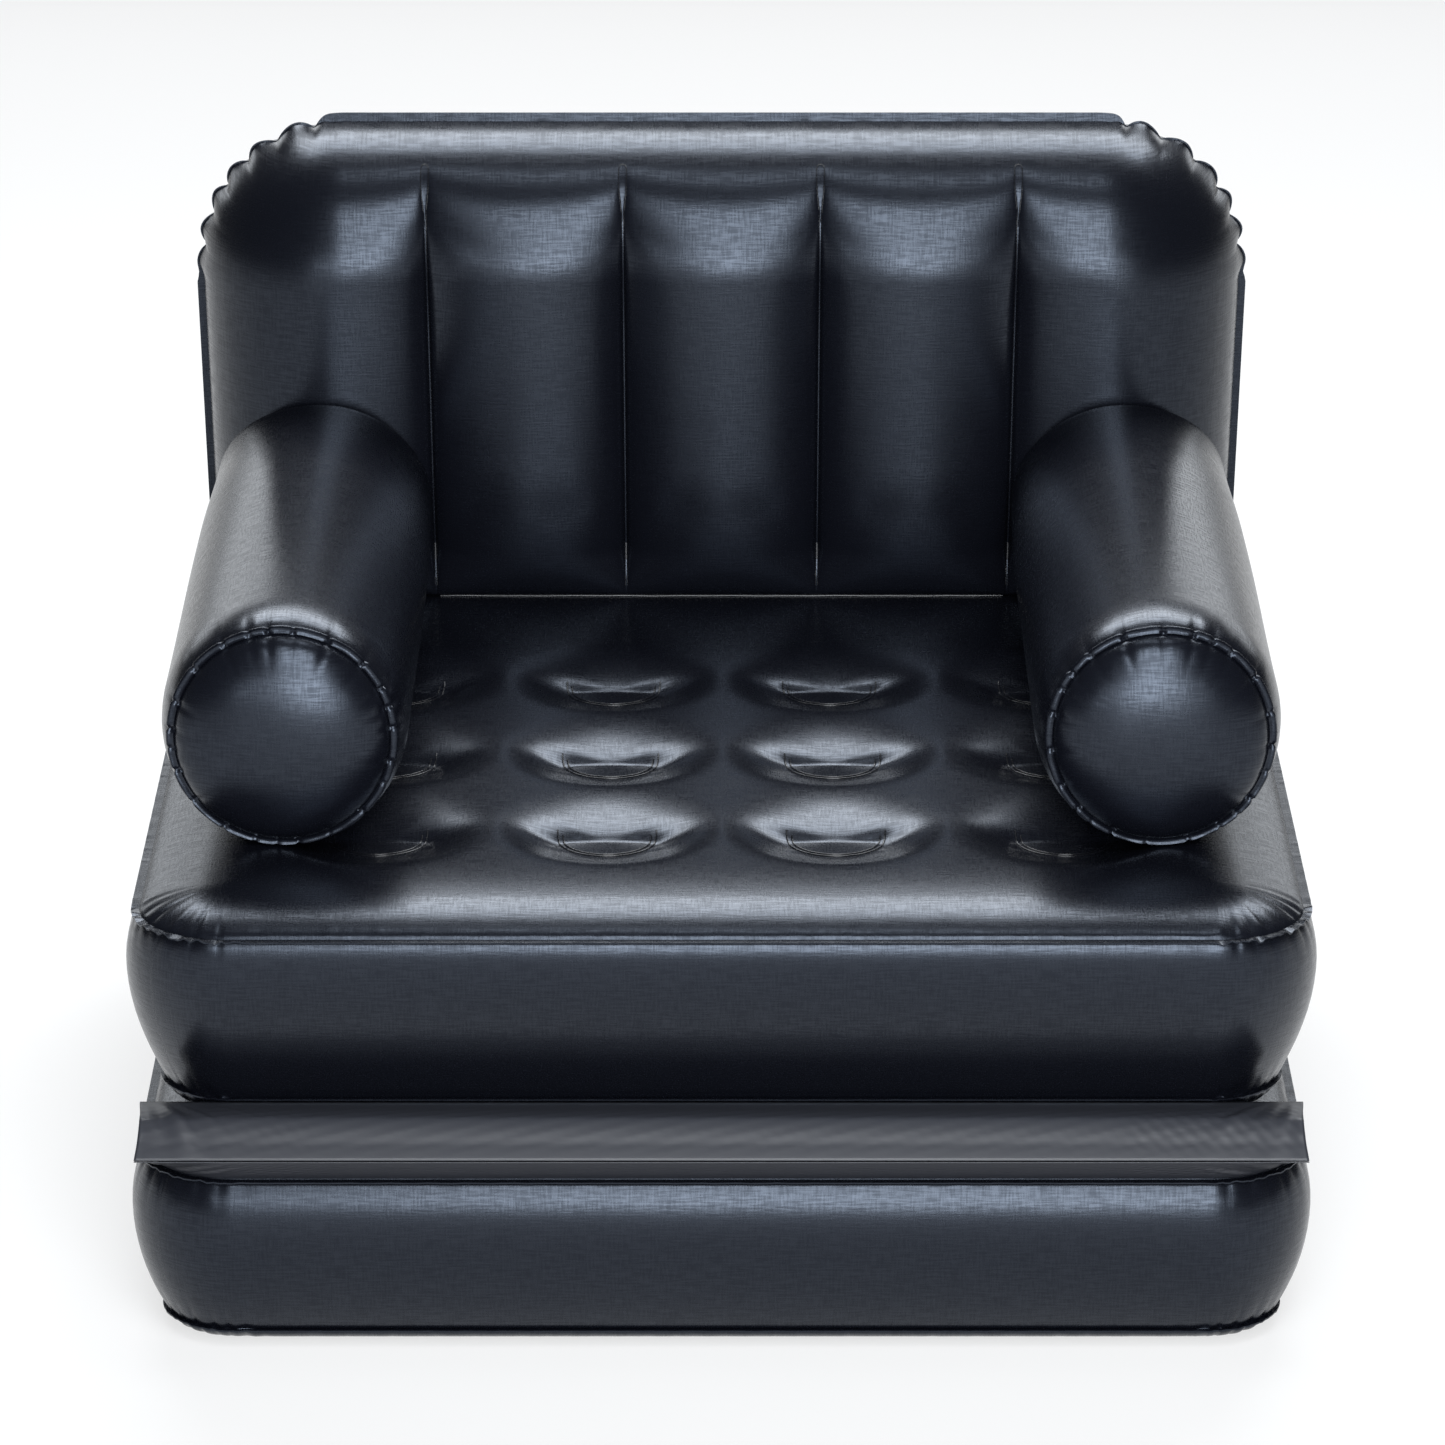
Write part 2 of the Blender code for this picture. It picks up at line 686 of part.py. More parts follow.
def upper_web():
    """The web from the seat leaf's lower front seam out to the fold line."""
    seam_y = FRONT + SEAT_FRONT_TUCK + UNDERSIDE_INSET
    top = SEAT_BOTTOM_SEAM - FIN_TOP - GAP
    fold_y = FOLD_Y + GAP / 2
    fold_z = FOLD_HEIGHT + GAP / 2
    section = [
        (seam_y - GAP, top), (seam_y - FIN_WIDTH, top), (fold_y, fold_z + FILM),
        (fold_y, fold_z), (seam_y - FIN_WIDTH, top - FILM), (seam_y - GAP, top - FILM),
    ]
    return extruded("hinge_web_upper", VINYL, section, WEB_WIDTH, (0, FOLD_Y, FOLD_HEIGHT))


def lower_web():
    """The web from the fold line down to the base leaf's upper front seam."""
    low = BASE_TOP_SEAM + FIN_TOP + GAP
    fold_y = FOLD_Y + GAP / 2
    fold_z = FOLD_HEIGHT - GAP / 2
    section = [
        (fold_y, fold_z), (fold_y + FILM, fold_z), (FRONT - FIN_WIDTH, low + FILM),
        (FRONT - GAP, low + FILM), (FRONT - GAP, low), (FRONT - FIN_WIDTH - FILM, low),
    ]
    return extruded("hinge_web_lower", VINYL, section, WEB_WIDTH, (0, FOLD_Y, FOLD_HEIGHT))


# Valves, turned about +Y, which points out of the chamber


def turned(name, look, profile, place, rise=0.0):
    """A closed profile of (radius, y) turned about the Y axis and raised along Z."""
    turn = 2 * math.pi / VALVE_SIDES
    bm = bmesh.new()
    rings = []
    for radius, y in profile:
        sides = VALVE_SIDES if radius > 0 else 1
        rings.append([
            bm.verts.new((radius * math.cos(i * turn), y, radius * math.sin(i * turn) + rise))
            for i in range(sides)
        ])
    join_rings(bm, rings, closed=profile[0][0] > 0)
    return piece_from(bm, name, look, place)


def boolean(target, tool, operation):
    """Adds or cuts a tool, which is then only a guide."""
    modifier = target.modifiers.new(operation.lower(), "BOOLEAN")
    modifier.operation = operation
    modifier.solver = "EXACT"
    modifier.object = tool
    tool.hide_render = True
    tool.display_type = "WIRE"


def valve_body(name, place):
    """The welded flange, the neck that runs into the chamber and the lip outside."""
    top = FLANGE_THICKNESS + LIP_HEIGHT
    profile = [
        (BORE_RADIUS, -NECK_LENGTH), (NECK_RADIUS, -NECK_LENGTH), (NECK_RADIUS, 0),
        (FLANGE_RADIUS, 0), (FLANGE_RADIUS, FLANGE_THICKNESS), (NECK_RADIUS, FLANGE_THICKNESS),
        (NECK_RADIUS, top), (BORE_RADIUS, top),
    ]
    return turned(name, VALVE_PLASTIC, profile, place)


def valve_plug(name, place):
    """The push-in plug and the strap that it swings on, with its origin on the strap's root."""
    hinge_y = FLANGE_THICKNESS + STRAP_THICKNESS
    base = FLANGE_THICKNESS + LIP_HEIGHT + GAP - hinge_y
    stem = BORE_RADIUS - GAP
    hinge = Vector(place) + Vector((0, hinge_y, -STRAP_REACH))
    profile = [
        (0, base - STEM_LENGTH), (stem - STEM_TAPER, base - STEM_LENGTH), (stem, base),
        (PLUG_RADIUS, base), (PLUG_RADIUS, base + PLUG_THICKNESS), (0, base + PLUG_THICKNESS),
    ]
    plug = turned(name, VALVE_PLASTIC, profile, hinge, STRAP_REACH)
    low = base + (PLUG_THICKNESS - STRAP_THICKNESS) / 2
    inner = STRAP_REACH - PLUG_RADIUS / 2
    root = STRAP_THICKNESS - STRAP_TAIL
    section = [
        (-STRAP_THICKNESS / 2, -STRAP_TAIL), (low + STRAP_THICKNESS, -STRAP_TAIL),
        (low + STRAP_THICKNESS, inner), (low, inner), (low, root), (-STRAP_THICKNESS / 2, root),
    ]
    strap = extruded(name + "_strap_shape", VALVE_PLASTIC, section, STRAP_WIDTH, (0, 0, 0))
    strap.location = hinge
    boolean(plug, strap, "UNION")
    return plug, strap


def valve_flap(name, place):
    """The soft disc that hangs over the neck's inner end and lets air in only."""
    radius = (BORE_RADIUS + NECK_RADIUS) / 2
    half = FLAP_THICKNESS / 2
    profile = [(0, -half), (radius, -half), (radius, half), (0, half)]
    axis = Vector(place) + Vector((0, -NECK_LENGTH - GAP - half, radius))
    return turned(name, FLAP_RUBBER, profile, axis, -radius)


def make_valve(kind, place):
    """A valve's body, plug and flap, and the strap's shape, which is only a guide."""
    plug, strap = valve_plug(kind + "_valve_plug", place)
    body = valve_body(kind + "_valve_body", place)
    flap = valve_flap(kind + "_valve_flap", place)
    return [body, plug, flap, strap]


def fit_wall_valve(kind, wall, level):
    """Cuts a leaf's rear wall for a valve's neck and fits the valve."""
    place = (VALVE_X, REAR + WALL_BULGE + GAP, level)
    profile = [(0, -CUT_OVERRUN), (NECK_RADIUS + GAP, -CUT_OVERRUN),
               (NECK_RADIUS + GAP, CUT_OVERRUN), (0, CUT_OVERRUN)]
    cutter = turned(kind + "_valve_hole", VALVE_PLASTIC, profile, place)
    boolean(wall, cutter, "DIFFERENCE")
    return make_valve(kind, place) + [cutter]


# The whole chair


def make_seat():
    """Everything that belongs to the seat leaf's body."""
    centres = coil_centres(COIL_FIRST_ROW, COIL_PITCH)
    pieces = make_leaf("seat", SEAT_BOTTOM_SEAM, SEAT_TOP_SEAM, CROWN,
                       FRONT + SEAT_FRONT_TUCK, centres, SEAT_COIL_SIDES, welled_top=True)
    wall = next(p for p in pieces if p.name == "seat_side_wall")
    pieces += fit_wall_valve("seat", wall, (SEAT_BOTTOM_SEAM + SEAT_TOP_SEAM) / 2)
    pieces += [backrest_front(), backrest_rear()]
    for number, line in enumerate(WELD_LINES, 1):
        pieces.append(backrest_web(number, line))
    vx, vz = valve_place_on_back()
    pieces += make_valve("back", (VALVE_X, RIDGE_Y + rear_lift(vx, vz) + GAP, vz))
    for side, sign in (("left", -1), ("right", 1)):
        pieces += [
            arm_barrel(side + "_arm_barrel", sign * ARM_CENTRE_X),
            arm_front_cap(side + "_arm_front_cap", sign * ARM_CENTRE_X),
            arm_rear_cap(side + "_arm_rear_cap", sign * ARM_CENTRE_X),
        ]
    pieces.append(upper_web())
    return pieces


def make_base():
    """Everything that swings on the fold line."""
    first_row = (LEAF_DEPTH - (len(COIL_ROWS) - 1) * BASE_ROW_PITCH) / 2
    centres = coil_centres(first_row, BASE_ROW_PITCH)
    pieces = make_leaf("base", BASE_BOTTOM_SEAM, BASE_TOP_SEAM, BASE_UNDERSIDE_CROWN,
                       FRONT, centres, BASE_COIL_SIDES, welled_top=False)
    wall = next(p for p in pieces if p.name == "base_side_wall")
    pieces += fit_wall_valve("base", wall, (BASE_BOTTOM_SEAM + BASE_TOP_SEAM) / 2)
    pieces.append(lower_web())
    return pieces


def middle_depth(pieces):
    """The middle of the shown pieces' reach along Y."""
    bpy.context.view_layer.update()
    shown = [p for p in pieces if not p.hide_render]
    reach = [(p.matrix_world @ v.co).y for p in shown for v in p.data.vertices]
    return (min(reach) + max(reach)) / 2


def build():
    clear_scene()
    seat = make_seat()
    base = make_base()
    chair = carrier("chair", (0, 0, 0))
    fold = carrier("leaf_fold_axis", (0, FOLD_Y, FOLD_HEIGHT))
    middle = middle_depth(seat + base)
    for piece in seat:
        carry(piece, chair)
    for piece in base:
        carry(piece, fold)
    carry(fold, chair)
    chair.location.y -= middle


build()
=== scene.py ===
"""The looks of a fold-out inflatable chair of black vinyl film.

The leaves, the backrest and the arms are skins of film, laid over the solids of the frame. The
seat leaf has two skins, which meet at its upper seam, and each other chamber has one. Weld beads,
the web between the leaves and the valves are pieces of their own. Metres, +Z up, and the front
faces -Y.
"""

import json
import math
from collections import namedtuple

import bmesh
import bpy
import numpy as np
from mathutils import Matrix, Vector


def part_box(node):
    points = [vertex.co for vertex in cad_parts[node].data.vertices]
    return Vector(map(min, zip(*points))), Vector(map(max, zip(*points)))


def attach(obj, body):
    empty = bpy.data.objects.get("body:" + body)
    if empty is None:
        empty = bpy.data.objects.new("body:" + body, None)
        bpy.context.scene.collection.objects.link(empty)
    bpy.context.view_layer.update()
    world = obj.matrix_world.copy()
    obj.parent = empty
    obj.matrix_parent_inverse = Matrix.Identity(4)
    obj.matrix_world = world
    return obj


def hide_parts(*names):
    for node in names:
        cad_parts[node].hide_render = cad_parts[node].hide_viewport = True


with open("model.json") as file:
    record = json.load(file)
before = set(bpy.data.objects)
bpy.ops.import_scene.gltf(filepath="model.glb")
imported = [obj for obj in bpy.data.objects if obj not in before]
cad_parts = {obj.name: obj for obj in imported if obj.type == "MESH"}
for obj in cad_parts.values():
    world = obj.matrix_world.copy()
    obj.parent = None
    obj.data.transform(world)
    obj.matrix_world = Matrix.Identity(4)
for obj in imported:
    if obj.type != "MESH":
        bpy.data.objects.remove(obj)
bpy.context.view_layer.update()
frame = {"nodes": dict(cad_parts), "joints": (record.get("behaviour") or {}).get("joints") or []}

# Film and seams
FIN_WIDTH = 0.007
FIN_HALF = 0.0006
CORNER_STEP = 0.0026
COARSE_STEP = 0.0075
MERGE = 0.00002
RIPPLE_LENGTHS = (0.013, 0.021, 0.034)
SIDE_RIPPLE = 0.0003
CORNER_RIPPLE = 0.0008
FLUTTER_LENGTHS = (0.0095, 0.015, 0.031)
SIDE_FLUTTER = 0.0003
PINCH_PITCH = 0.017

# Leaves
CORNER_RADIUS = 0.075
CROWN_REACH = 0.120
UNDER_REACH = 0.055
WALL_BULGE = 0.018
UNDERSIDE_INSET = 0.014
UNDER_FIN_SHARE = 0.55
PUCKER_REACH = 0.012
SHEET_PUCKER = 0.0034
WALL_PUCKER = 0.0026
WALL_LEVELS = 21
STRIP_INSETS = (0.0, 0.0005, 0.0015, 0.003, 0.005, 0.008, 0.012, 0.017, 0.023, 0.030, 0.038, 0.047)

# Coil beams
COIL_RADIUS = 0.041
WELL_DEPTH = 0.018
WELL_AHEAD = 0.017
WELL_CHORD = 0.012
WELL_REACH = 0.100
WELL_STEP = 0.0028
WELL_CORNER_POWER = 2.5
BEAD_RADIUS = 0.0007
BEAD_GAP = 0.0042
BEAD_SPACING = 0.003
BEAD_LIFT = 0.0003

# Backrest
BACK_TOP_RADIUS = 0.135
BACK_FOOT_RADIUS = 0.045
BACK_TAPER = 0.012
CREASE_DEPTH = 0.082
FRONT_SWELL = 0.118
REAR_FOOT_DEPTH = 0.003
REAR_SWELL = 0.060
SWELL_REACH = 0.120
FOOT_REACH = 0.130
CHANNEL_PITCH = 0.177
WELD_LINES = (-1.5, -0.5, 0.5, 1.5)
CHANNEL_DEPTH = 0.026
WELD_TOP_DROP = 0.022
WELD_FADE = 0.150
WELD_FOOT_RISE = 0.045
TAB_HALF = 0.0034
TAB_LENGTH = 0.014
LINE_HALF = 0.0009
LINE_START = 0.045
LOBE_RISE = 0.0048
NOTCH_DEPTH = 0.0092
NOTCH_REACH = 0.013
SCALLOP_TURN = math.radians(13.6)
BACK_STEP = 0.005
WELD_STEP = 0.0011
WELD_STEP_REACH = 0.012
BACK_RIPPLE = 0.0005
BACK_RIPPLE_REACH = 0.004
VALLEY_DEPTH = 0.005
VALLEY_REACH = 0.003
WELD_BEAD_RADIUS = 0.0005
WELD_BEAD_RISE = 0.012
CREASE_BEAD_RADIUS = 0.0009
CREASE_BEAD_HALF = 0.262
FIN_LEAN = 0.55
SCALLOP_STEP = 0.002
BACK_STRIP_RUNS = (0, 0.0015, 0.003, 0.005, 0.0075, 0.0105, 0.014, 0.018, 0.023, 0.029, 0.036,
                   0.044, 0.053, 0.063, 0.074)

# Arms
RING_RADIUS = 0.088
BARREL_RADIUS = 0.102
SWELL_BEHIND_RING = 0.055
CAP_DOME = 0.030
ARM_POINTS = 360
NICKS = 23
NICK_TURN = 0.017
CREASE_TURN = 0.045
CREASE_REACH = 0.012
NICK_DEPTH = 0.0024
NICK_LEAN = 0.0030
RING_WAVE = 0.0007
RING_PROFILE = ((0.0010, 0.0011), (0.0022, 0.0002), (0.0048, 0.0), (0.0062, 0.0008), (0.0070, 0.0))
BARREL_FIRST_RUNS = (0.0006, 0.002, 0.0045, 0.008, 0.012, 0.017, 0.023, 0.030)
BARREL_START = 0.038
BARREL_RIPPLE = 0.0006
ARM_GAP = 0.0035

# Web
WEB_ROWS = 30
WEB_BACK = -0.4262
WEB_THICKNESS = 0.0007
WEB_SEAM_GAP = 0.0022
WEB_HUMP = 0.0042
WEB_CRUMPLE = 0.0005
WEB_FOLD_HEIGHT = 0.0026

# Valves
BORE_RADIUS = 0.008
NECK_RADIUS = 0.0115
NECK_LENGTH = 0.010
FLANGE_RADIUS = 0.019
FLANGE_THICKNESS = 0.0015
LIP_HEIGHT = 0.004
PLUG_RADIUS = 0.0105
PLUG_THICKNESS = 0.003
STEM_RADIUS = 0.0072
STEM_LENGTH = 0.004
STRAP_HALF_WIDTH = 0.003
STRAP_THICKNESS = 0.0015
HOLE_RADIUS = 0.0135
PAD_RADIUS = 0.024
PAD_FADE_RADIUS = 0.046
VALVE_GAP = 0.0003
LATHE_POINTS = 72

# Camera, fitted to the photograph
PHOTO_SIDE = 1445
FOCAL_PIXELS = 7052.6
CAMERA_AHEAD = 5.2827
CAMERA_HEIGHT = 2.3931
CAMERA_TILT = math.radians(19.2313)
SHIFT_PIXELS = 1
SENSOR = 36

# Stage
FLOOR_REACH = 16
FLOOR_GLOW = 0.68
SKY_STRENGTH = 0.07

# How each leaf's seams are wrinkled
Seam = namedtuple("Seam", "seed corner_flutter")
SEAT_TOP = Seam(5.7, 0.0024)
SEAT_FOOT = Seam(3.1, 0.0009)
BASE_TOP = Seam(9.2, 0.0009)
BASE_FOOT = Seam(7.3, 0.0009)

# Places read from the frame
seat_low, seat_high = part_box("seat_top_sheet")
seat_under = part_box("seat_bottom_sheet")
seat_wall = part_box("seat_side_wall")
base_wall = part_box("base_side_wall")
base_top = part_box("base_top_sheet")
base_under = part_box("base_bottom_sheet")
back_low, back_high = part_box("backrest_front_sheet")
HALF_WIDTH = seat_high.x - FIN_WIDTH
FRONT = seat_low.y + FIN_WIDTH
REAR = seat_high.y - FIN_WIDTH
SEAT_CREST = seat_high.z
SEAT_TOP_SEAM = seat_wall[1].z
SEAT_BOTTOM_SEAM = seat_wall[0].z
SEAT_UNDERSIDE = seat_under[0].z
SEAT_LOW_FRONT = seat_under[0].y + FIN_WIDTH - UNDERSIDE_INSET
BASE_TOP_SEAM = base_wall[1].z
BASE_BOTTOM_SEAM = base_wall[0].z
BASE_CREST = base_top[1].z
BACK_FOOT = back_low.z
BACK_TOP = back_high.z - FIN_WIDTH
BACK_HALF = back_high.x - FIN_WIDTH
RIDGE_Y = back_high.y
FOLD = Vector(next(j["pos_m"] for j in frame["joints"] if j["name"] == "leaf_fold"))


def coil_places(kind):
    """The centres of a leaf's coil beams, read from the frame."""
    places = []
    for name in sorted(frame["nodes"]):
        if name.startswith(kind + "_coil_beam"):
            low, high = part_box(name)
            places.append(((low.x + high.x) / 2, (low.y + high.y) / 2))
    return places


SEAT_COILS = coil_places("seat")
BASE_COILS = coil_places("base")


# Curves that the shapes share


def round_share(share):
    """The height of a quarter circle, both as shares of its radius."""
    share = np.clip(share, 0, 1)
    return np.sqrt(1 - (1 - share) ** 2)


def pillow_share(share):
    """The height of a gently rounded crown, steepest at its seam."""
    return 0.62 * (1 - (1 - np.clip(share, 0, 1)) ** 2.3) + 0.38 * round_share(share * 2.5)


def ease(share):
    share = np.clip(share, 0, 1)
    return share * share * (3 - 2 * share)


def waver(run, lengths, seed):
    """An uneven wave along a seam, from -1 to 1, as a sum of a few wave lengths."""
    total = np.zeros_like(run)
    for number, length in enumerate(lengths):
        phase = math.sin(seed * 12.9 + number * 78.2) * 43.7
        total += np.sin(2 * math.pi * run / length + phase)
    return total / len(lengths)


def pinches(turn, seed):
    """Sharp creases with round lobes between: 0 on a lobe and 1 in a crease."""
    shifted = turn + 0.10 * np.sin(1.7 * turn + seed) + 0.07 * np.sin(4.3 * turn + 2 * seed)
    return 1 - np.abs(np.sin(math.pi * shifted)) ** 0.5


def graded(low, high, spots, reach, fine, coarse):
    """Places from low to high, close together near the spots."""
    places = [low]
    while places[-1] < high:
        near = any(abs(places[-1] - spot) < reach for spot in spots)
        places.append(places[-1] + (fine if near else coarse))
    places = np.array(places)
    return low + (places - low) * (high - low) / (places[-1] - low)


# Grids on a rounded panel


Layout = namedtuple("Layout", "x_shares y_shares side low high")


def layout_of(xs, ys, side, low, high):
    """A panel's grid: its straight columns and rows, and how many more lie in each corner."""
    return Layout((xs - xs[0]) / (xs[-1] - xs[0]), (ys - ys[0]) / (ys[-1] - ys[0]), side, low, high)


def bend(centre, radius, first, extra, count):
    """Half a corner's points: an arc of 45 degrees from the first angle, then a straight bit."""
    arc = radius * math.pi / 4
    level = first + math.pi / 4
    way = np.array((math.cos(level), math.sin(level)))
    along = np.array((-way[1], way[0]))
    places, outward, runs = [], [], []
    for k in range(count):
        run = (arc + extra) * k / count
        if run < arc:
            angle = first + run / radius
            outward.append(np.array((math.cos(angle), math.sin(angle))))
            places.append(centre + radius * outward[-1])
        else:
            outward.append(way)
            places.append(centre + radius * way + along * (run - arc))
        runs.append(run)
    return places, outward, runs, arc + extra, way, along


def rim_of(x0, x1, y0, y1, radii, layout):
    """Points round a rounded rectangle, their outward directions and their run from the start.

    The radii are those of the lower left, lower right, upper right and upper left corners. The
    rim starts at the middle of the lower left corner. Every corner reaches as far as the largest
    one, so that the columns and rows between the corners are straight.
    """
    centres = [(x0 + radii[0], y0 + radii[0]), (x1 - radii[1], y0 + radii[1]),
               (x1 - radii[2], y1 - radii[2]), (x0 + radii[3], y1 - radii[3])]
    starts = (layout.side, layout.low, layout.side, layout.high)
    ends = (layout.side, layout.high, layout.side, layout.low)
    middles = (layout.x_shares, layout.y_shares, 1 - layout.x_shares[::-1],
               1 - layout.y_shares[::-1])
    places, outward, runs = [], [], []
    start = 0.0
    for side in range(4):
        near, far = np.array(centres[side]), np.array(centres[(side + 1) % 4])
        r_near, r_far = radii[side], radii[(side + 1) % 4]
        first = math.radians(225 + 90 * side)
        lead = bend(near, r_near, first, max(radii) - r_near, starts[side])
        places += lead[0]
        outward += lead[1]
        runs += [start + run for run in lead[2]]
        start += lead[3]
        way, along = lead[4], lead[5]
        a = near + r_near * way + along * (max(radii) - r_near)
        b = far + r_far * way - along * (max(radii) - r_far)
        length = float(np.linalg.norm(b - a))
        places += [a + (b - a) * share for share in middles[side]]
        outward += [way] * len(middles[side])
        runs += [start + length * share for share in middles[side]]
        start += length
        tail_length = r_far * math.pi / 4 + max(radii) - r_far
        for k in range(1, ends[side]):
            run = tail_length * k / ends[side]
            turn = max(run - (max(radii) - r_far), 0) / r_far
            angle = first + math.pi / 4 + turn
            outward.append(np.array((math.cos(angle), math.sin(angle))))
            place = b + along * run if turn == 0 else far + r_far * outward[-1]
            places.append(place)
            runs.append(start + run)
        start += tail_length
    return np.array(places), np.array(outward), np.array(runs)


def ring_faces(lower, upper):
    """Quads between two closed loops of point numbers."""
    return np.stack([lower, np.roll(lower, -1), np.roll(upper, -1), upper], axis=1)


def loop_faces(size, count):
    numbers = np.arange(size)
    return np.concatenate([ring_faces(numbers + k * size, numbers + (k + 1) * size)
                           for k in range(count - 1)])


def filled(corners, u, v):
    """Points between four edges, each edge's ends meeting the next."""
    south, east, north, west = corners
    u, v = u[:, None, None], v[None, :, None]
    p00, p10, p11, p01 = south[0], south[-1], north[-1], north[0]
    return ((1 - v) * south[:, None] + v * north[:, None]
            + (1 - u) * west[None] + u * east[None]
            - (1 - u) * (1 - v) * p00 - u * (1 - v) * p10 - u * v * p11 - (1 - u) * v * p01)


def core_grid(loop, layout):
    """A grid that fills a loop, with straight columns and rows between its corners."""
    nx = 2 * layout.side + len(layout.x_shares) - 1
    ny = layout.low + layout.high + len(layout.y_shares) - 1
    south = loop[:nx + 1]
    east = loop[nx:nx + ny + 1]
    north = loop[nx + ny:2 * nx + ny + 1][::-1]
    west = np.concatenate([loop[2 * nx + ny:], loop[:1]])[::-1]
    first, last = layout.side, nx - layout.side
    straight = east[layout.low:ny - layout.high + 1, 1]
    foot = np.linspace(south[first, 1], straight[0], layout.low + 1)[:-1]
    head = np.linspace(straight[-1], north[first, 1], layout.high + 1)[1:]
    rows = np.concatenate([foot, straight, head])
    v = (rows - rows[0]) / (rows[-1] - rows[0])
    edges = {0: west, nx: east}
    for column in (first, last):
        edges[column] = np.column_stack([np.full(ny + 1, south[column, 0]), rows])
    grid = np.zeros((nx + 1, ny + 1, 2))
    for a, b in ((0, first), (first, last), (last, nx)):
        span = south[a:b + 1]
        gaps = np.concatenate([[0], np.cumsum(np.linalg.norm(np.diff(span, axis=0), axis=1))])
        corners = (span, edges[b], north[a:b + 1], edges[a])
        grid[a:b + 1] = filled(corners, gaps / gaps[-1], v)
    return grid


def panel(rim, grows, layout):
    """A panel's flat points and faces: loops along the rim, then a grid that fills the rest.

    Returns the points, the faces, each point's depth inside the rim, and its run along it.
    """
    places, outward, runs = rim
    size = len(places)
    loops = [places + outward * np.reshape(grow, (-1, 1)) for grow in grows]
    faces = [loop_faces(size, len(loops))]
    grid = core_grid(loops[-1], layout)
    nx, ny = grid.shape[0] - 1, grid.shape[1] - 1
    inner = grid[1:nx, 1:ny].reshape(-1, 2)
    numbers = np.zeros((nx + 1, ny + 1), int)
    rim_numbers = (len(loops) - 1) * size + np.arange(size)
    numbers[:, 0] = rim_numbers[:nx + 1]
    numbers[nx, :] = rim_numbers[nx:nx + ny + 1]
    numbers[:, ny] = rim_numbers[nx + ny:2 * nx + ny + 1][::-1]
    numbers[0, :] = np.concatenate([rim_numbers[2 * nx + ny:], rim_numbers[:1]])[::-1]
    numbers[1:nx, 1:ny] = len(loops) * size + np.arange(len(inner)).reshape(nx - 1, ny - 1)
    faces.append(np.stack([numbers[:-1, :-1], numbers[1:, :-1], numbers[1:, 1:],
                           numbers[:-1, 1:]], axis=-1).reshape(-1, 4))
    depth = [np.broadcast_to(-np.asarray(grow, float), (size,)) for grow in grows]
    return np.concatenate(loops + [inner]), np.concatenate(faces), np.concatenate(depth), runs


# Meshes


def skin(name, parts, material, flat_angle=50):
    """One mesh from parts of (points, faces, places on the cloth)."""
    points, faces, cloth, start = [], [], [], 0
    for part_points, part_faces, part_cloth in parts:
        points.append(part_points)
        faces += [[int(number) + start for number in face] for face in part_faces]
        cloth.append(part_cloth)
        start += len(part_points)
    points, cloth = np.concatenate(points), np.concatenate(cloth)
    mesh = bpy.data.meshes.new(name)
    mesh.from_pydata(points.tolist(), [], faces)
    layer = mesh.uv_layers.new(name="cloth")
    corners = np.zeros(len(mesh.loops), int)
    mesh.loops.foreach_get("vertex_index", corners)
    layer.data.foreach_set("uv", cloth[corners].astype(np.float32).ravel())
    bm = bmesh.new()
    bm.from_mesh(mesh)
    bmesh.ops.remove_doubles(bm, verts=bm.verts, dist=MERGE)
    bmesh.ops.dissolve_degenerate(bm, edges=bm.edges, dist=MERGE)
    bmesh.ops.recalc_face_normals(bm, faces=bm.faces)
    turn_outward(bm)
    bm.to_mesh(mesh)
    bm.free()
    return shown(name, mesh, material, flat_angle)


def turn_outward(bm):
    """Flips a mesh whose outermost face looks inward."""
    middle = sum((v.co for v in bm.verts), Vector()) / len(bm.verts)
    outer = max(bm.faces, key=lambda f: (f.calc_center_median() - middle).length)
    if outer.normal.dot(outer.calc_center_median() - middle) < 0:
        bmesh.ops.reverse_faces(bm, faces=bm.faces)


def shown(name, mesh, material, flat_angle=50):
    mesh.shade_smooth()
    mesh.set_sharp_from_angle(angle=math.radians(flat_angle))
    piece = bpy.data.objects.new(name, mesh)
    piece.data.materials.append(material)
    bpy.context.scene.collection.objects.link(piece)
    return piece


def settle(piece, body, slot, *nodes):
    """A piece's body and the solids that it stands for; the finish slot is not used."""
    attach(piece, body)
    if nodes:
        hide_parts(*nodes)
    return piece


def kept_faces(points, faces, hole):
    """The faces outside a round hole that runs along Y."""
    x, y, z, radius = hole
    middle = points[faces].mean(axis=1)
    away = np.hypot(middle[:, 0] - x, middle[:, 2] - z)
    return faces[(away > radius) | (np.abs(middle[:, 1] - y) > 0.02)]


# Leaves


def leaf_layout(coils):
    """A leaf's grid, finer round the front of each coil beam's weld."""
    columns = sorted({round(x, 4) for x, _ in coils})
    rows = sorted({round(y, 4) for _, y in coils})
    half = HALF_WIDTH - CORNER_RADIUS
    xs = graded(-half, half, columns, COIL_RADIUS + 0.006, WELL_STEP, COARSE_STEP)
    middle = [y - COIL_RADIUS / 3 for y in rows]
    ys = graded(FRONT + CORNER_RADIUS, REAR - CORNER_RADIUS, middle, 0.034, WELL_STEP, COARSE_STEP)
    count = int(CORNER_RADIUS * math.pi / 4 / CORNER_STEP)
    return layout_of(xs, ys, count, count, count)


def leaf_rim(front, layout):
    return rim_of(-HALF_WIDTH, HALF_WIDTH, front, REAR, (CORNER_RADIUS,) * 4, layout)


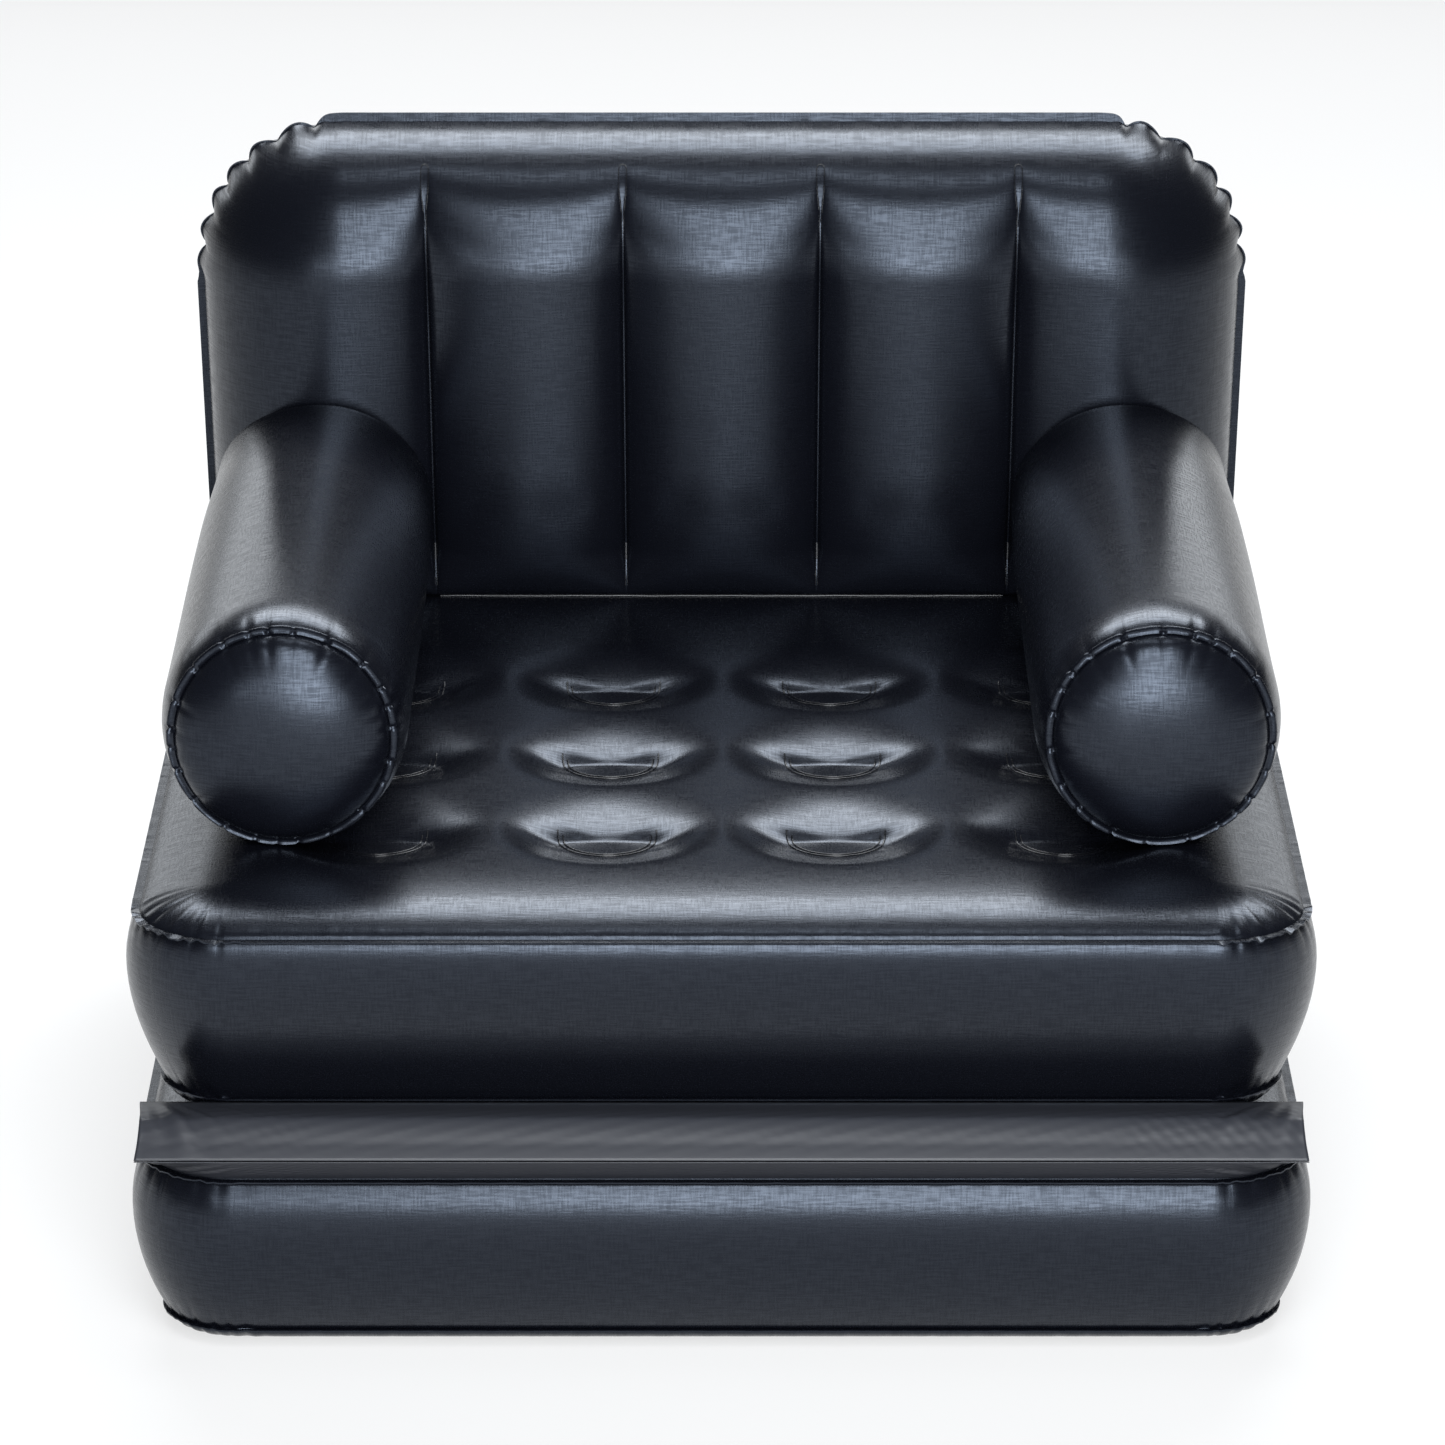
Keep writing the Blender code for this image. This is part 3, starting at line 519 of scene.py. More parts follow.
def corner_share(places):
    """1 at the middle of a leaf's corner and 0 along its straight sides."""
    across = np.abs(places[:, 0]) - (HALF_WIDTH - CORNER_RADIUS)
    along = np.abs(places[:, 1] - (FRONT + REAR) / 2) - ((REAR - FRONT) / 2 - CORNER_RADIUS)
    return ease((np.minimum(across, along) + 0.035) / 0.045)


def well_share(x, y, coils, side):
    """How far each point is drawn down to a coil beam's weld, from 0 to 1.

    The floor of a well is the front part of the weld's circle, cut off by a chord with rounded
    ends, and its far wall is the steepest.
    """
    level = np.ones_like(x)
    for cx, cy in coils:
        dx, dy = x - cx, side * (y - cy) + WELL_AHEAD
        away = np.maximum(np.hypot(dx, dy), 1e-6)
        sine = dy / away
        circle = WELL_AHEAD * sine + np.sqrt((WELL_AHEAD * sine) ** 2 + COIL_RADIUS ** 2
                                             - WELL_AHEAD ** 2)
        chord = WELL_CHORD / np.maximum(sine, 0.02)
        floor = (circle ** -WELL_CORNER_POWER + chord ** -WELL_CORNER_POWER) ** (-1 / WELL_CORNER_POWER)
        share = np.clip((away - floor) / (WELL_REACH - floor), 0, 1)
        power = 2.0 - 1.2 * ease(0.5 + 0.6 * sine)
        rise = np.sin(math.pi / 2 * share) ** power
        spokes = np.sin(13 * np.arctan2(dy, np.abs(dx)) + 9 * cx + 5 * cy)
        at_ends = np.exp(-((np.abs(dx) - 0.047) / 0.016) ** 2) * ease(1 - np.abs(dy) / 0.05)
        wrinkle = 0.05 * spokes * at_ends * np.exp(-share * 5) * np.clip(share * 20, 0, 1)
        level = level * np.clip(rise + wrinkle, 0, 1)
    return 1 - level


def leaf_lift(places, depth, run, crown, reach, coils, side, seed):
    """The height of a leaf's sheet over its seam."""
    corner = corner_share(places)
    rise = pillow_share(depth / reach) if reach > UNDER_REACH else round_share(depth / reach)
    near = np.exp(-np.maximum(depth, 0) / PUCKER_REACH)
    ripple = waver(run, RIPPLE_LENGTHS, seed) * (SIDE_RIPPLE + CORNER_RIPPLE * corner)
    crease = pinches(run / PINCH_PITCH, seed) * corner * SHEET_PUCKER
    lift = FIN_HALF + (crown - FIN_HALF) * rise
    lift = lift + np.where(depth > 0, (ripple - crease) * near * np.clip(rise * 4, 0, 1), 0)
    if coils:
        lift = lift - WELL_DEPTH * well_share(places[:, 0], places[:, 1], coils, side)
    return lift


def fin_flutter(run, corner, seam):
    """How far a fin's free edge waves up and down, most at the corners."""
    return waver(run, FLUTTER_LENGTHS, seam.seed) * (SIDE_FLUTTER + seam.corner_flutter * corner)


def edge_depth(places, front, inset):
    """The distance from a leaf's seam, measured straight in from its nearest side."""
    across = HALF_WIDTH - np.abs(places[:, 0])
    along = np.minimum(places[:, 1] - front, REAR - places[:, 1])
    dx, dy = CORNER_RADIUS - across, CORNER_RADIUS - along
    in_corner = (dx > 0) & (dy > 0)
    round_corner = CORNER_RADIUS - np.hypot(dx, dy)
    return np.where(in_corner, round_corner, np.minimum(across, along)) - inset


def leaf_panel(front, inset, level, side, crown, reach, coils, layout, seam):
    """A leaf's upper or lower sheet with its fin."""
    rim = leaf_rim(front, layout)
    fin = FIN_WIDTH * (UNDER_FIN_SHARE if side < 0 else 1)
    grows = [fin - inset, fin / 2 - inset] + [-d - inset for d in STRIP_INSETS]
    places, faces, depth, runs = panel(rim, grows, layout)
    strip = len(depth)
    run = np.zeros(len(places))
    run[:strip] = np.tile(runs, len(grows))
    depth = np.concatenate([depth - inset, edge_depth(places[strip:], front, inset)])
    lift = leaf_lift(places, depth, run, crown, reach, coils, side, seam.seed)
    flutter = fin_flutter(run, corner_share(places), seam) * np.clip(-depth / FIN_WIDTH, 0, 1)
    points = np.column_stack([places, level + side * lift + flutter])
    return points, faces, places


def leaf_wall(front_low, low, high, layout, foot, head, peak):
    """A leaf's bulged side wall between the fins of its two seams."""
    levels = np.sin(np.linspace(0, math.pi / 2, WALL_LEVELS)) ** 2
    shares = np.concatenate([[0, 0, 0], levels, [1, 1, 1]])
    low_fin = FIN_WIDTH * UNDER_FIN_SHARE
    grows = [low_fin, low_fin, low_fin / 2] + [0.0] * WALL_LEVELS
    grows += [FIN_WIDTH / 2, FIN_WIDTH, FIN_WIDTH]
    offs = [-FIN_HALF, FIN_HALF, FIN_HALF, FIN_HALF] + [0.0] * (WALL_LEVELS - 2)
    offs += [-FIN_HALF, -FIN_HALF, -FIN_HALF, FIN_HALF]
    points, cloth = [], []
    for share, grow, off in zip(shares, grows, offs):
        places, outward, runs = leaf_rim(front_low + (FRONT - front_low) * share, layout)
        corner = corner_share(places)
        bulge = WALL_BULGE * (1 - abs(2 * share ** peak - 1) ** 2.1) ** 0.8
        near_low = math.exp(-share * (high - low) / PUCKER_REACH)
        near_high = math.exp(-(1 - share) * (high - low) / PUCKER_REACH)
        crease = (pinches(runs / PINCH_PITCH, foot.seed) * near_low
                  + pinches(runs / PINCH_PITCH, head.seed) * near_high)
        spread = grow + bulge - UNDERSIDE_INSET * (1 - share)
        spread = spread - WALL_PUCKER * corner * crease * (bulge > 0)
        flutter = (fin_flutter(runs, corner, foot) * (share < 0.5)
                   + fin_flutter(runs, corner, head) * (share > 0.5)) * grow / FIN_WIDTH
        loop = places + outward * np.reshape(spread, (-1, 1))
        level = np.broadcast_to(low + share * (high - low) + off + flutter, len(loop))
        points.append(np.column_stack([loop, level]))
        cloth.append(np.column_stack([runs, level]))
    return np.concatenate(points), loop_faces(len(points[0]), len(points)), np.concatenate(cloth)


def valve_hole(kind):
    low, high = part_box(kind + "_valve_body")
    return ((low.x + high.x) / 2, high.y - LIP_HEIGHT, (low.z + high.z) / 2, HOLE_RADIUS)


def make_seat_leaf(material):
    """The seat leaf: its welled top in one skin, and its wall and underside in another."""
    layout = leaf_layout(SEAT_COILS)
    top = leaf_panel(FRONT, 0, SEAT_TOP_SEAM, 1, SEAT_CREST - SEAT_TOP_SEAM, CROWN_REACH,
                     SEAT_COILS, layout, SEAT_TOP)
    leaf = skin("seat_top_skin", [top], material)
    settle(leaf, "seat", "vinyl", "seat_top_sheet")
    layout = leaf_layout([])
    points, faces, cloth = leaf_wall(SEAT_LOW_FRONT, SEAT_BOTTOM_SEAM, SEAT_TOP_SEAM, layout,
                                     SEAT_FOOT, SEAT_TOP, 1.3)
    wall = (points, kept_faces(points, faces, valve_hole("seat")), cloth)
    under = leaf_panel(SEAT_LOW_FRONT, UNDERSIDE_INSET, SEAT_BOTTOM_SEAM, -1,
                       SEAT_BOTTOM_SEAM - SEAT_UNDERSIDE, UNDER_REACH, [], layout, SEAT_FOOT)
    leaf = skin("seat_wall_skin", [wall, under], material)
    settle(leaf, "seat", "vinyl", "seat_side_wall", "seat_bottom_sheet")


def make_base_leaf(material):
    """The base leaf in one closed skin, its welled side down."""
    layout = leaf_layout([])
    points, faces, cloth = leaf_wall(FRONT, BASE_BOTTOM_SEAM, BASE_TOP_SEAM, layout,
                                     BASE_FOOT, BASE_TOP, 1.15)
    parts = [
        leaf_panel(FRONT, 0, BASE_TOP_SEAM, 1, BASE_CREST - BASE_TOP_SEAM, UNDER_REACH, [], layout,
                   BASE_TOP),
        (points, kept_faces(points, faces, valve_hole("base")), cloth),
        leaf_panel(FRONT, UNDERSIDE_INSET, BASE_BOTTOM_SEAM, -1,
                   BASE_BOTTOM_SEAM - base_under[0].z, UNDER_REACH, BASE_COILS, layout, BASE_FOOT),
    ]
    leaf = skin("base_leaf_skin", parts, material)
    settle(leaf, "base", "vinyl", "base_top_sheet", "base_side_wall", "base_bottom_sheet")


# Backrest


def narrowing(z):
    height = BACK_TOP - BACK_FOOT
    return 1 - (1 - (z - BACK_FOOT) / height) * BACK_TAPER / BACK_HALF


def depth_in_back(x, z):
    """The distance to the backrest's seam, which runs up one side, over the top and down."""
    across = np.abs(x)
    side_low, side_high = BACK_FOOT + BACK_FOOT_RADIUS, BACK_TOP - BACK_TOP_RADIUS
    to_side = np.hypot(across - BACK_HALF, z - np.clip(z, side_low, side_high))
    to_top = np.hypot(np.maximum(across - (BACK_HALF - BACK_TOP_RADIUS), 0), z - BACK_TOP)
    to_end = np.hypot(np.maximum(BACK_HALF - BACK_FOOT_RADIUS - across, 0), z - BACK_FOOT)
    nearest = np.minimum(np.minimum(to_side, to_top), to_end)
    for radius, level, way in ((BACK_TOP_RADIUS, side_high, 1), (BACK_FOOT_RADIUS, side_low, -1)):
        dx, dz = across - (BACK_HALF - radius), way * (z - level)
        in_corner = (dx >= 0) & (dz >= 0)
        nearest = np.where(in_corner, np.abs(radius - np.hypot(dx, dz)), nearest)
    return nearest


def scallop_turn(x, z):
    """The place round a top corner, counted in scallops, and how much they show there."""
    dx = np.abs(x) - (BACK_HALF - BACK_TOP_RADIUS)
    dz = z - (BACK_TOP - BACK_TOP_RADIUS)
    angle = np.arctan2(dx, np.maximum(dz, -0.05))
    turn = angle / SCALLOP_TURN + np.where(x > 0, 0.16 * np.sin(angle * 5), 0.10 * np.cos(angle * 4))
    seen = ease((angle - math.radians(5)) / math.radians(7))
    seen = seen * ease((math.radians(96) - angle) / math.radians(8))
    return turn, seen * ((dx > -0.02) & (dz > -0.05))


def scallops(turn):
    """Round lobes with a crease between: 0 on a lobe and 1 in a crease."""
    shifted = turn + 0.06 * np.sin(1.7 * turn + 0.4) + 0.035 * np.sin(4.3 * turn + 0.8)
    return 1 - np.abs(np.sin(math.pi * shifted)) ** 0.75


def weld_half(z):
    """Half the width of a backrest weld: a tab at its top that runs out into a line."""
    below = BACK_TOP - WELD_TOP_DROP - z
    return TAB_HALF + (LINE_HALF - TAB_HALF) * ease((below - TAB_LENGTH) / (LINE_START - TAB_LENGTH))


def channel_notch(x, z):
    away = np.min([np.abs(x - line * CHANNEL_PITCH) for line in WELD_LINES], axis=0)
    half = weld_half(z)
    away = np.maximum(away - half, 0)
    notch = 1 - round_share(away / (CHANNEL_PITCH / 2 - half))
    above = np.clip((BACK_TOP - WELD_TOP_DROP - z) / WELD_FADE, 0, 1)
    below = np.clip((z - BACK_FOOT) / WELD_FOOT_RISE, 0, 1)
    return notch * np.sin(math.pi * above / 2) * below


def back_lift(x, z, foot, swell):
    """How far a backrest sheet stands off the plane of its seam."""
    depth = depth_in_back(x, z)
    rise = round_share((z - BACK_FOOT) / FOOT_REACH)
    full = foot + (swell - foot) * rise - CHANNEL_DEPTH * channel_notch(x, z)
    return FIN_HALF + np.maximum(full - FIN_HALF, 0) * round_share(depth / SWELL_REACH)


def rear_lift(x, z):
    """The rear sheet's lift, level under the valve's flange."""
    lift = back_lift(x, z, REAR_FOOT_DEPTH, REAR_SWELL)
    px, _, pz, _ = valve_hole("back")
    seat = back_lift(np.array([px / narrowing(pz)]), np.array([pz]), REAR_FOOT_DEPTH, REAR_SWELL)[0]
    away = np.hypot(x * narrowing(z) - px, z - pz)
    level = ease((PAD_FADE_RADIUS - away) / (PAD_FADE_RADIUS - PAD_RADIUS))
    return lift + (seat - lift) * level


def back_layout():
    """The backrest's grid, close at the welds and round the scalloped corners."""
    half = BACK_HALF - BACK_TOP_RADIUS
    lines = [line * CHANNEL_PITCH for line in WELD_LINES]
    xs = graded(-half, half, lines, WELD_STEP_REACH, WELD_STEP, BACK_STEP)
    ys = graded(BACK_FOOT + BACK_TOP_RADIUS, BACK_TOP - BACK_TOP_RADIUS, [], 0, 0, BACK_STEP)
    top = int(BACK_TOP_RADIUS * math.pi / 4 / SCALLOP_STEP)
    return layout_of(xs, ys, top, int(BACK_TOP_RADIUS / BACK_STEP), top)


def scalloped(flat, outward, puff):
    """The flat panel with the loops along its edge puffed into lobes and nicks."""
    size = len(outward)
    moved = flat.copy()
    for loop, run in enumerate((0, 0) + BACK_STRIP_RUNS):
        fade = math.exp(-run / NOTCH_REACH)
        moved[loop * size:(loop + 1) * size] += outward * np.reshape(puff * fade, (-1, 1))
    return moved


def make_backrest(material):
    """The backrest's closed skin: front sheet, rear sheet, and the flat foot between them."""
    layout = back_layout()
    radii = (BACK_FOOT_RADIUS, BACK_FOOT_RADIUS, BACK_TOP_RADIUS, BACK_TOP_RADIUS)
    rim = rim_of(-BACK_HALF, BACK_HALF, BACK_FOOT, BACK_TOP, radii, layout)
    places, outward, runs = rim
    size = len(places)
    seamed = ease((places[:, 1] - BACK_FOOT) / 0.02)
    turn, seen = scallop_turn(places[:, 0], places[:, 1])
    fin = FIN_WIDTH * seamed * (1 - 0.8 * seen)
    depths = [SWELL_REACH * (1 - math.cos(run / SWELL_REACH)) for run in BACK_STRIP_RUNS]
    grows = [fin, fin / 2] + [-d * np.ones(size) for d in depths]
    flat, faces, _, _ = panel(rim, grows, layout)
    puff = seen * (LOBE_RISE - NOTCH_DEPTH * scallops(turn))
    moved = scalloped(flat, outward, puff)
    x, z = flat[:, 0], np.maximum(flat[:, 1], BACK_FOOT)
    outside = np.zeros(len(flat), bool)
    outside[:2 * size] = np.tile(fin, 2) > 0.0001
    run = np.zeros(len(flat))
    run[:len(grows) * size] = np.tile(runs, len(grows))
    edge = np.exp(-depth_in_back(x, z) / BACK_RIPPLE_REACH) * ~outside
    turn, seen = scallop_turn(x, z)
    valley = VALLEY_DEPTH * scallops(turn) * seen * np.exp(-depth_in_back(x, z) / VALLEY_REACH)
    lean = FIN_LEAN * np.maximum(moved[:, 1] - BACK_TOP, 0)
    sheets = []
    for way in (-1, 1):
        lift = rear_lift(x, z) if way > 0 else back_lift(x, z, CREASE_DEPTH, FRONT_SWELL)
        ripple = waver(run, (0.017, 0.029, 0.047), 2.2 + way) * BACK_RIPPLE * edge
        lift = np.where(outside, FIN_HALF, np.maximum(lift - valley + ripple, FIN_HALF))
        px, pz = moved[:, 0], np.maximum(moved[:, 1], BACK_FOOT)
        points = np.column_stack([px * narrowing(pz), RIDGE_Y + lean + way * lift, pz])
        sheets.append([points, faces, flat])
    sheets[1][1] = kept_faces(sheets[1][0], faces, valve_hole("back"))
    joint = np.concatenate([sheets[0][0][:size], sheets[1][0][:size]])
    sheets.append([joint, loop_faces(size, 2), np.concatenate([flat[:size], flat[:size]])])
    back = skin("backrest_skin", sheets, material)
    settle(back, "seat", "vinyl", "backrest_front_sheet", "backrest_rear_sheet")


# Arms


def nick_places(seed):
    """Uneven angles at which an arm's ring weld is nicked."""
    turn = 2 * math.pi / NICKS
    return [turn * (k + 0.32 * math.sin(seed + 5.1 * k)) for k in range(NICKS)]


def nicked(angles, seed, width):
    """1 at each nick, falling away over the given turn, weaker towards the arm's foot."""
    share = np.zeros_like(angles)
    for number, place in enumerate(nick_places(seed)):
        away = np.abs((angles - place + math.pi) % (2 * math.pi) - math.pi)
        strength = 0.78 + 0.22 * math.sin(seed * 3 + 2.7 * number)
        share = np.maximum(share, strength * np.exp(-(away / width) ** 2))
    return share * (0.75 + 0.25 * np.sin(angles))


def arm_end(centre, angles, bed, share=1.0):
    """Where an arm ends, a little ahead of the backrest's front."""
    x = centre.x + share * RING_RADIUS * np.cos(angles)
    z = np.maximum(centre.z + share * RING_RADIUS * np.sin(angles), bed)
    return RIDGE_Y - back_lift(x / narrowing(z), z, CREASE_DEPTH, FRONT_SWELL) - ARM_GAP


def cap_rings(front, crease):
    """The rings of an arm's domed front cap, from its middle out to the ring weld."""
    rings = []
    for share in np.sin(np.linspace(0.03, 1, 30) * math.pi / 2):
        dome = CAP_DOME * max(1 - share ** 2.3, 0) ** 0.5
        near = math.exp(-(1 - share) * RING_RADIUS / 0.006) * (share < 0.999)
        rings.append((share * RING_RADIUS * np.ones(ARM_POINTS),
                      front - dome + NICK_LEAN * crease * near))
    return rings


def ring_weld(centre, front, nick, wave):
    """The nicked fin and its beads, where an arm's cap is welded to its barrel."""
    rings = []
    for reach, bead in RING_PROFILE:
        radii = RING_RADIUS + reach - NICK_DEPTH * nick * reach / FIN_WIDTH
        along = front - bead + NICK_LEAN * nick + RING_WAVE * wave * reach / FIN_WIDTH
        rings.append((radii, along))
    edge_radii, edge_along = rings[-1]
    full = np.ones(ARM_POINTS)
    rings.append((edge_radii, edge_along + 2 * FIN_HALF))
    rings.append((RING_RADIUS * full, centre.y + FIN_HALF * full))
    return rings


def barrel_rings(centre, end, angles, crease, seed):
    """An arm's barrel, which swells behind its ring weld and thins a little at the backrest."""
    length = float(np.mean(end)) - centre.y
    rings = []
    for run in np.concatenate([BARREL_FIRST_RUNS, np.arange(BARREL_START, length, COARSE_STEP)]):
        share = run / length
        swell = float(round_share(run / SWELL_BEHIND_RING))
        sag = 1 - 0.25 * float(ease((share - 0.7) / 0.3))
        radii = RING_RADIUS + (BARREL_RADIUS - RING_RADIUS) * swell * sag
        radii = radii - NICK_DEPTH * crease * math.exp(-run / CREASE_REACH)
        ripple = BARREL_RIPPLE * waver(angles * BARREL_RADIUS, (0.1068, 0.2136), seed)
        ripple = ripple * math.sin(9 * share)
        rings.append((radii + ripple, centre.y + (end - centre.y) * share))
    return rings


def arm_rings(centre, bed, seed):
    """An arm's rings from the middle of its front cap to the middle of its rear one.

    Each is (radii, places along Y) for every angle.
    """
    angles = 2 * math.pi * np.arange(ARM_POINTS) / ARM_POINTS
    nick, crease = nicked(angles, seed, NICK_TURN), nicked(angles, seed, CREASE_TURN)
    wave = waver(angles * RING_RADIUS, (0.019, 0.031, 0.073), seed)
    front = centre.y - FIN_HALF
    rings = cap_rings(front, crease) + ring_weld(centre, front, nick, wave)
    rings += barrel_rings(centre, arm_end(centre, angles, bed), angles, crease, seed)
    for share in np.linspace(1.08, 0.03, 14):
        rings.append((share * RING_RADIUS * np.ones(ARM_POINTS),
                      arm_end(centre, angles, bed, share)))
    return angles, rings


def make_arm(side, seed, material):
    """An arm's closed skin: domed front cap, ring weld, barrel, and the cap at the backrest."""
    low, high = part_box(side + "_arm_front_cap")
    centre = Vector(((low.x + high.x) / 2, high.y, (low.z + high.z) / 2))
    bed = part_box(side + "_arm_barrel")[0].z
    angles, rings = arm_rings(centre, bed, seed)
    points, cloth, run = [], [], 0.0
    for radii, along in rings:
        x, z = centre.x + radii * np.cos(angles), centre.z + radii * np.sin(angles)
        points.append(np.column_stack([x, along, np.maximum(z, bed)]))
        on_cap = np.column_stack([radii * np.cos(angles), radii * np.sin(angles)])
        on_barrel = np.column_stack([angles * BARREL_RADIUS, along])
        cloth.append(on_barrel if np.mean(along) > centre.y + FIN_HALF else on_cap)
    tips = np.array([[centre.x, points[0][:, 1].mean(), centre.z],
                     [centre.x, points[-1][:, 1].mean(), centre.z]])
    first = np.arange(ARM_POINTS)
    last = first + (len(points) - 1) * ARM_POINTS
    front_tip = len(points) * ARM_POINTS
    faces = loop_faces(ARM_POINTS, len(points)).tolist()
    for ring, tip in ((first[::-1], front_tip), (last, front_tip + 1)):
        faces += [[a, b, tip] for a, b in zip(ring, np.roll(ring, -1))]
    part = (np.concatenate(points + [tips]), faces, np.concatenate(cloth + [np.zeros((2, 2))]))
    arm = skin(side + "_arm_skin", [part], material)
    settle(arm, "seat", "vinyl", side + "_arm_front_cap", side + "_arm_barrel",
           side + "_arm_rear_cap")


# Web between the leaves


def end_folds(x, share, half, seed):
    """Creases that fan out from a web's ends towards its fold line."""
    ends = ease((np.abs(x) - (half - 0.10)) / 0.08)
    fan = (half - np.abs(x)) / (0.55 + share)
    return ends * waver(fan + 0.02 * np.sign(x), (0.033, 0.021, 0.051), seed)


def web_rows(upper, across, half):
    """A web's points, row by row from its seam to the fold line."""
    straight = HALF_WIDTH - UNDERSIDE_INSET * upper - CORNER_RADIUS
    back = CORNER_RADIUS - np.sqrt(
        np.maximum(CORNER_RADIUS ** 2 - np.maximum(np.abs(across) * half - straight, 0) ** 2, 0))
    seam = (SEAT_LOW_FRONT + UNDERSIDE_INSET, SEAT_BOTTOM_SEAM - WEB_SEAM_GAP) if upper else (
        FRONT, BASE_TOP_SEAM + WEB_SEAM_GAP)
    way = 1 if upper else -1
    rows = []
    for share in np.linspace(0, 1, WEB_ROWS):
        x = across * (half - 0.003 * math.sin(math.pi * share))
        start = np.minimum(seam[0] + back, WEB_BACK) - 0.0012
        end = FOLD.y + 0.0009
        y = start + (end - start) * share ** (0.75 if upper else 1)
        drop = max(share - 0.50, 0) ** 1.25 / 0.5 ** 1.25 if upper else share
        z = seam[1] + (FOLD.z + way * 0.0006 - seam[1]) * drop
        hump = math.sin(math.pi * min(share * 1.25, 1)) if upper else 0
        crumple = WEB_CRUMPLE * waver(x + 0.3 * share, (0.023, 0.041, 0.013), 2.0 + way)
        folds = WEB_FOLD_HEIGHT * end_folds(x, share, half, 6.0 + way)
        z = z + WEB_HUMP * hump + (crumple + folds) * math.sin(math.pi * share)
        rows.append(np.column_stack([x, y * np.ones_like(x), z]))
    return rows


def make_web(material):
    """The strip of film from the seat's lower seam out to the fold and down to the base."""
    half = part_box("hinge_web_upper")[1].x
    across = graded(-1, 1, (-1, 1), 0.3, 0.0045, 0.009)
    for name, body, upper in (("hinge_web_upper", "seat", True), ("hinge_web_lower", "base", False)):
        rows = web_rows(upper, across, half)
        size = len(across)
        grid = np.concatenate(rows)
        index = np.arange(len(grid)).reshape(len(rows), size)
        faces = np.stack([index[:-1, :-1], index[:-1, 1:], index[1:, 1:], index[1:, :-1]],
                         axis=-1).reshape(-1, 4)
        middle = np.array([row[size // 2] for row in rows])
        runs = np.concatenate([[0], np.cumsum(np.linalg.norm(np.diff(middle, axis=0), axis=1))])
        cloth = np.column_stack([grid[:, 0], np.repeat(runs, size)])
        web = skin(name + "_skin", [(grid, faces, cloth)], material, 70)
        thicken(web, WEB_THICKNESS)
        settle(web, body, "vinyl", name)


def thicken(piece, thickness):
    """Gives an open sheet its thickness, kept as part of its mesh."""
    modifier = piece.modifiers.new("film", "SOLIDIFY")
    modifier.thickness = thickness
    modifier.offset = 0
    apply_modifiers(piece)


def apply_modifiers(piece):
    graph = bpy.context.evaluated_depsgraph_get()
    mesh = bpy.data.meshes.new_from_object(piece.evaluated_get(graph))
    old = piece.data
    piece.modifiers.clear()
    piece.data = mesh
    bpy.data.meshes.remove(old)


# Weld beads


def bead_tree(material):
    """Geometry nodes that lay a round bead along each line of a mesh."""
    tree = bpy.data.node_groups.new("weld_bead", "GeometryNodeTree")
    sockets = tree.interface
    sockets.new_socket("Lines", in_out="INPUT", socket_type="NodeSocketGeometry")
    radius = sockets.new_socket("Bead radius", in_out="INPUT", socket_type="NodeSocketFloat")
    spacing = sockets.new_socket("Point spacing", in_out="INPUT", socket_type="NodeSocketFloat")
    sockets.new_socket("Beads", in_out="OUTPUT", socket_type="NodeSocketGeometry")
    nodes, links = tree.nodes, tree.links
    given, out = nodes.new("NodeGroupInput"), nodes.new("NodeGroupOutput")
    curve = nodes.new("GeometryNodeMeshToCurve")
    even = nodes.new("GeometryNodeResampleCurve")
    even.mode = "LENGTH"
    circle = nodes.new("GeometryNodeCurvePrimitiveCircle")
    circle.inputs["Resolution"].default_value = 8
    swept = nodes.new("GeometryNodeCurveToMesh")
    swept.inputs["Fill Caps"].default_value = True
    realize = nodes.new("GeometryNodeRealizeInstances")
    paint = nodes.new("GeometryNodeSetMaterial")
    paint.inputs["Material"].default_value = material
    links.new(given.outputs["Lines"], curve.inputs["Mesh"])
    links.new(curve.outputs["Curve"], even.inputs["Curve"])
    links.new(given.outputs["Point spacing"], even.inputs["Length"])
    links.new(given.outputs["Bead radius"], circle.inputs["Radius"])
    links.new(even.outputs["Curve"], swept.inputs["Curve"])
    links.new(circle.outputs["Curve"], swept.inputs["Profile Curve"])
    links.new(swept.outputs["Mesh"], realize.inputs["Geometry"])
    links.new(realize.outputs["Geometry"], paint.inputs["Geometry"])
    links.new(paint.outputs["Geometry"], out.inputs["Beads"])
    return tree, radius.identifier, spacing.identifier


def lay_beads(name, paths, radius, body, tree_parts, material):
    """Round beads along paths of points, as one piece."""
    tree, radius_key, spacing_key = tree_parts
    points, edges = [], []
    for path in paths:
        start = len(points)
        points += [tuple(map(float, place)) for place in path]
        edges += [(k, k + 1) for k in range(start, len(points) - 1)]
    mesh = bpy.data.meshes.new(name)
    mesh.from_pydata(points, edges, [])
    piece = bpy.data.objects.new(name, mesh)
    bpy.context.scene.collection.objects.link(piece)
    modifier = piece.modifiers.new("beads", "NODES")
    modifier.node_group = tree
    modifier[radius_key] = radius
    modifier[spacing_key] = BEAD_SPACING
    apply_modifiers(piece)
    piece.data.materials.clear()
    piece.data.materials.append(material)
    piece.data.shade_smooth()
    settle(piece, body, "vinyl")


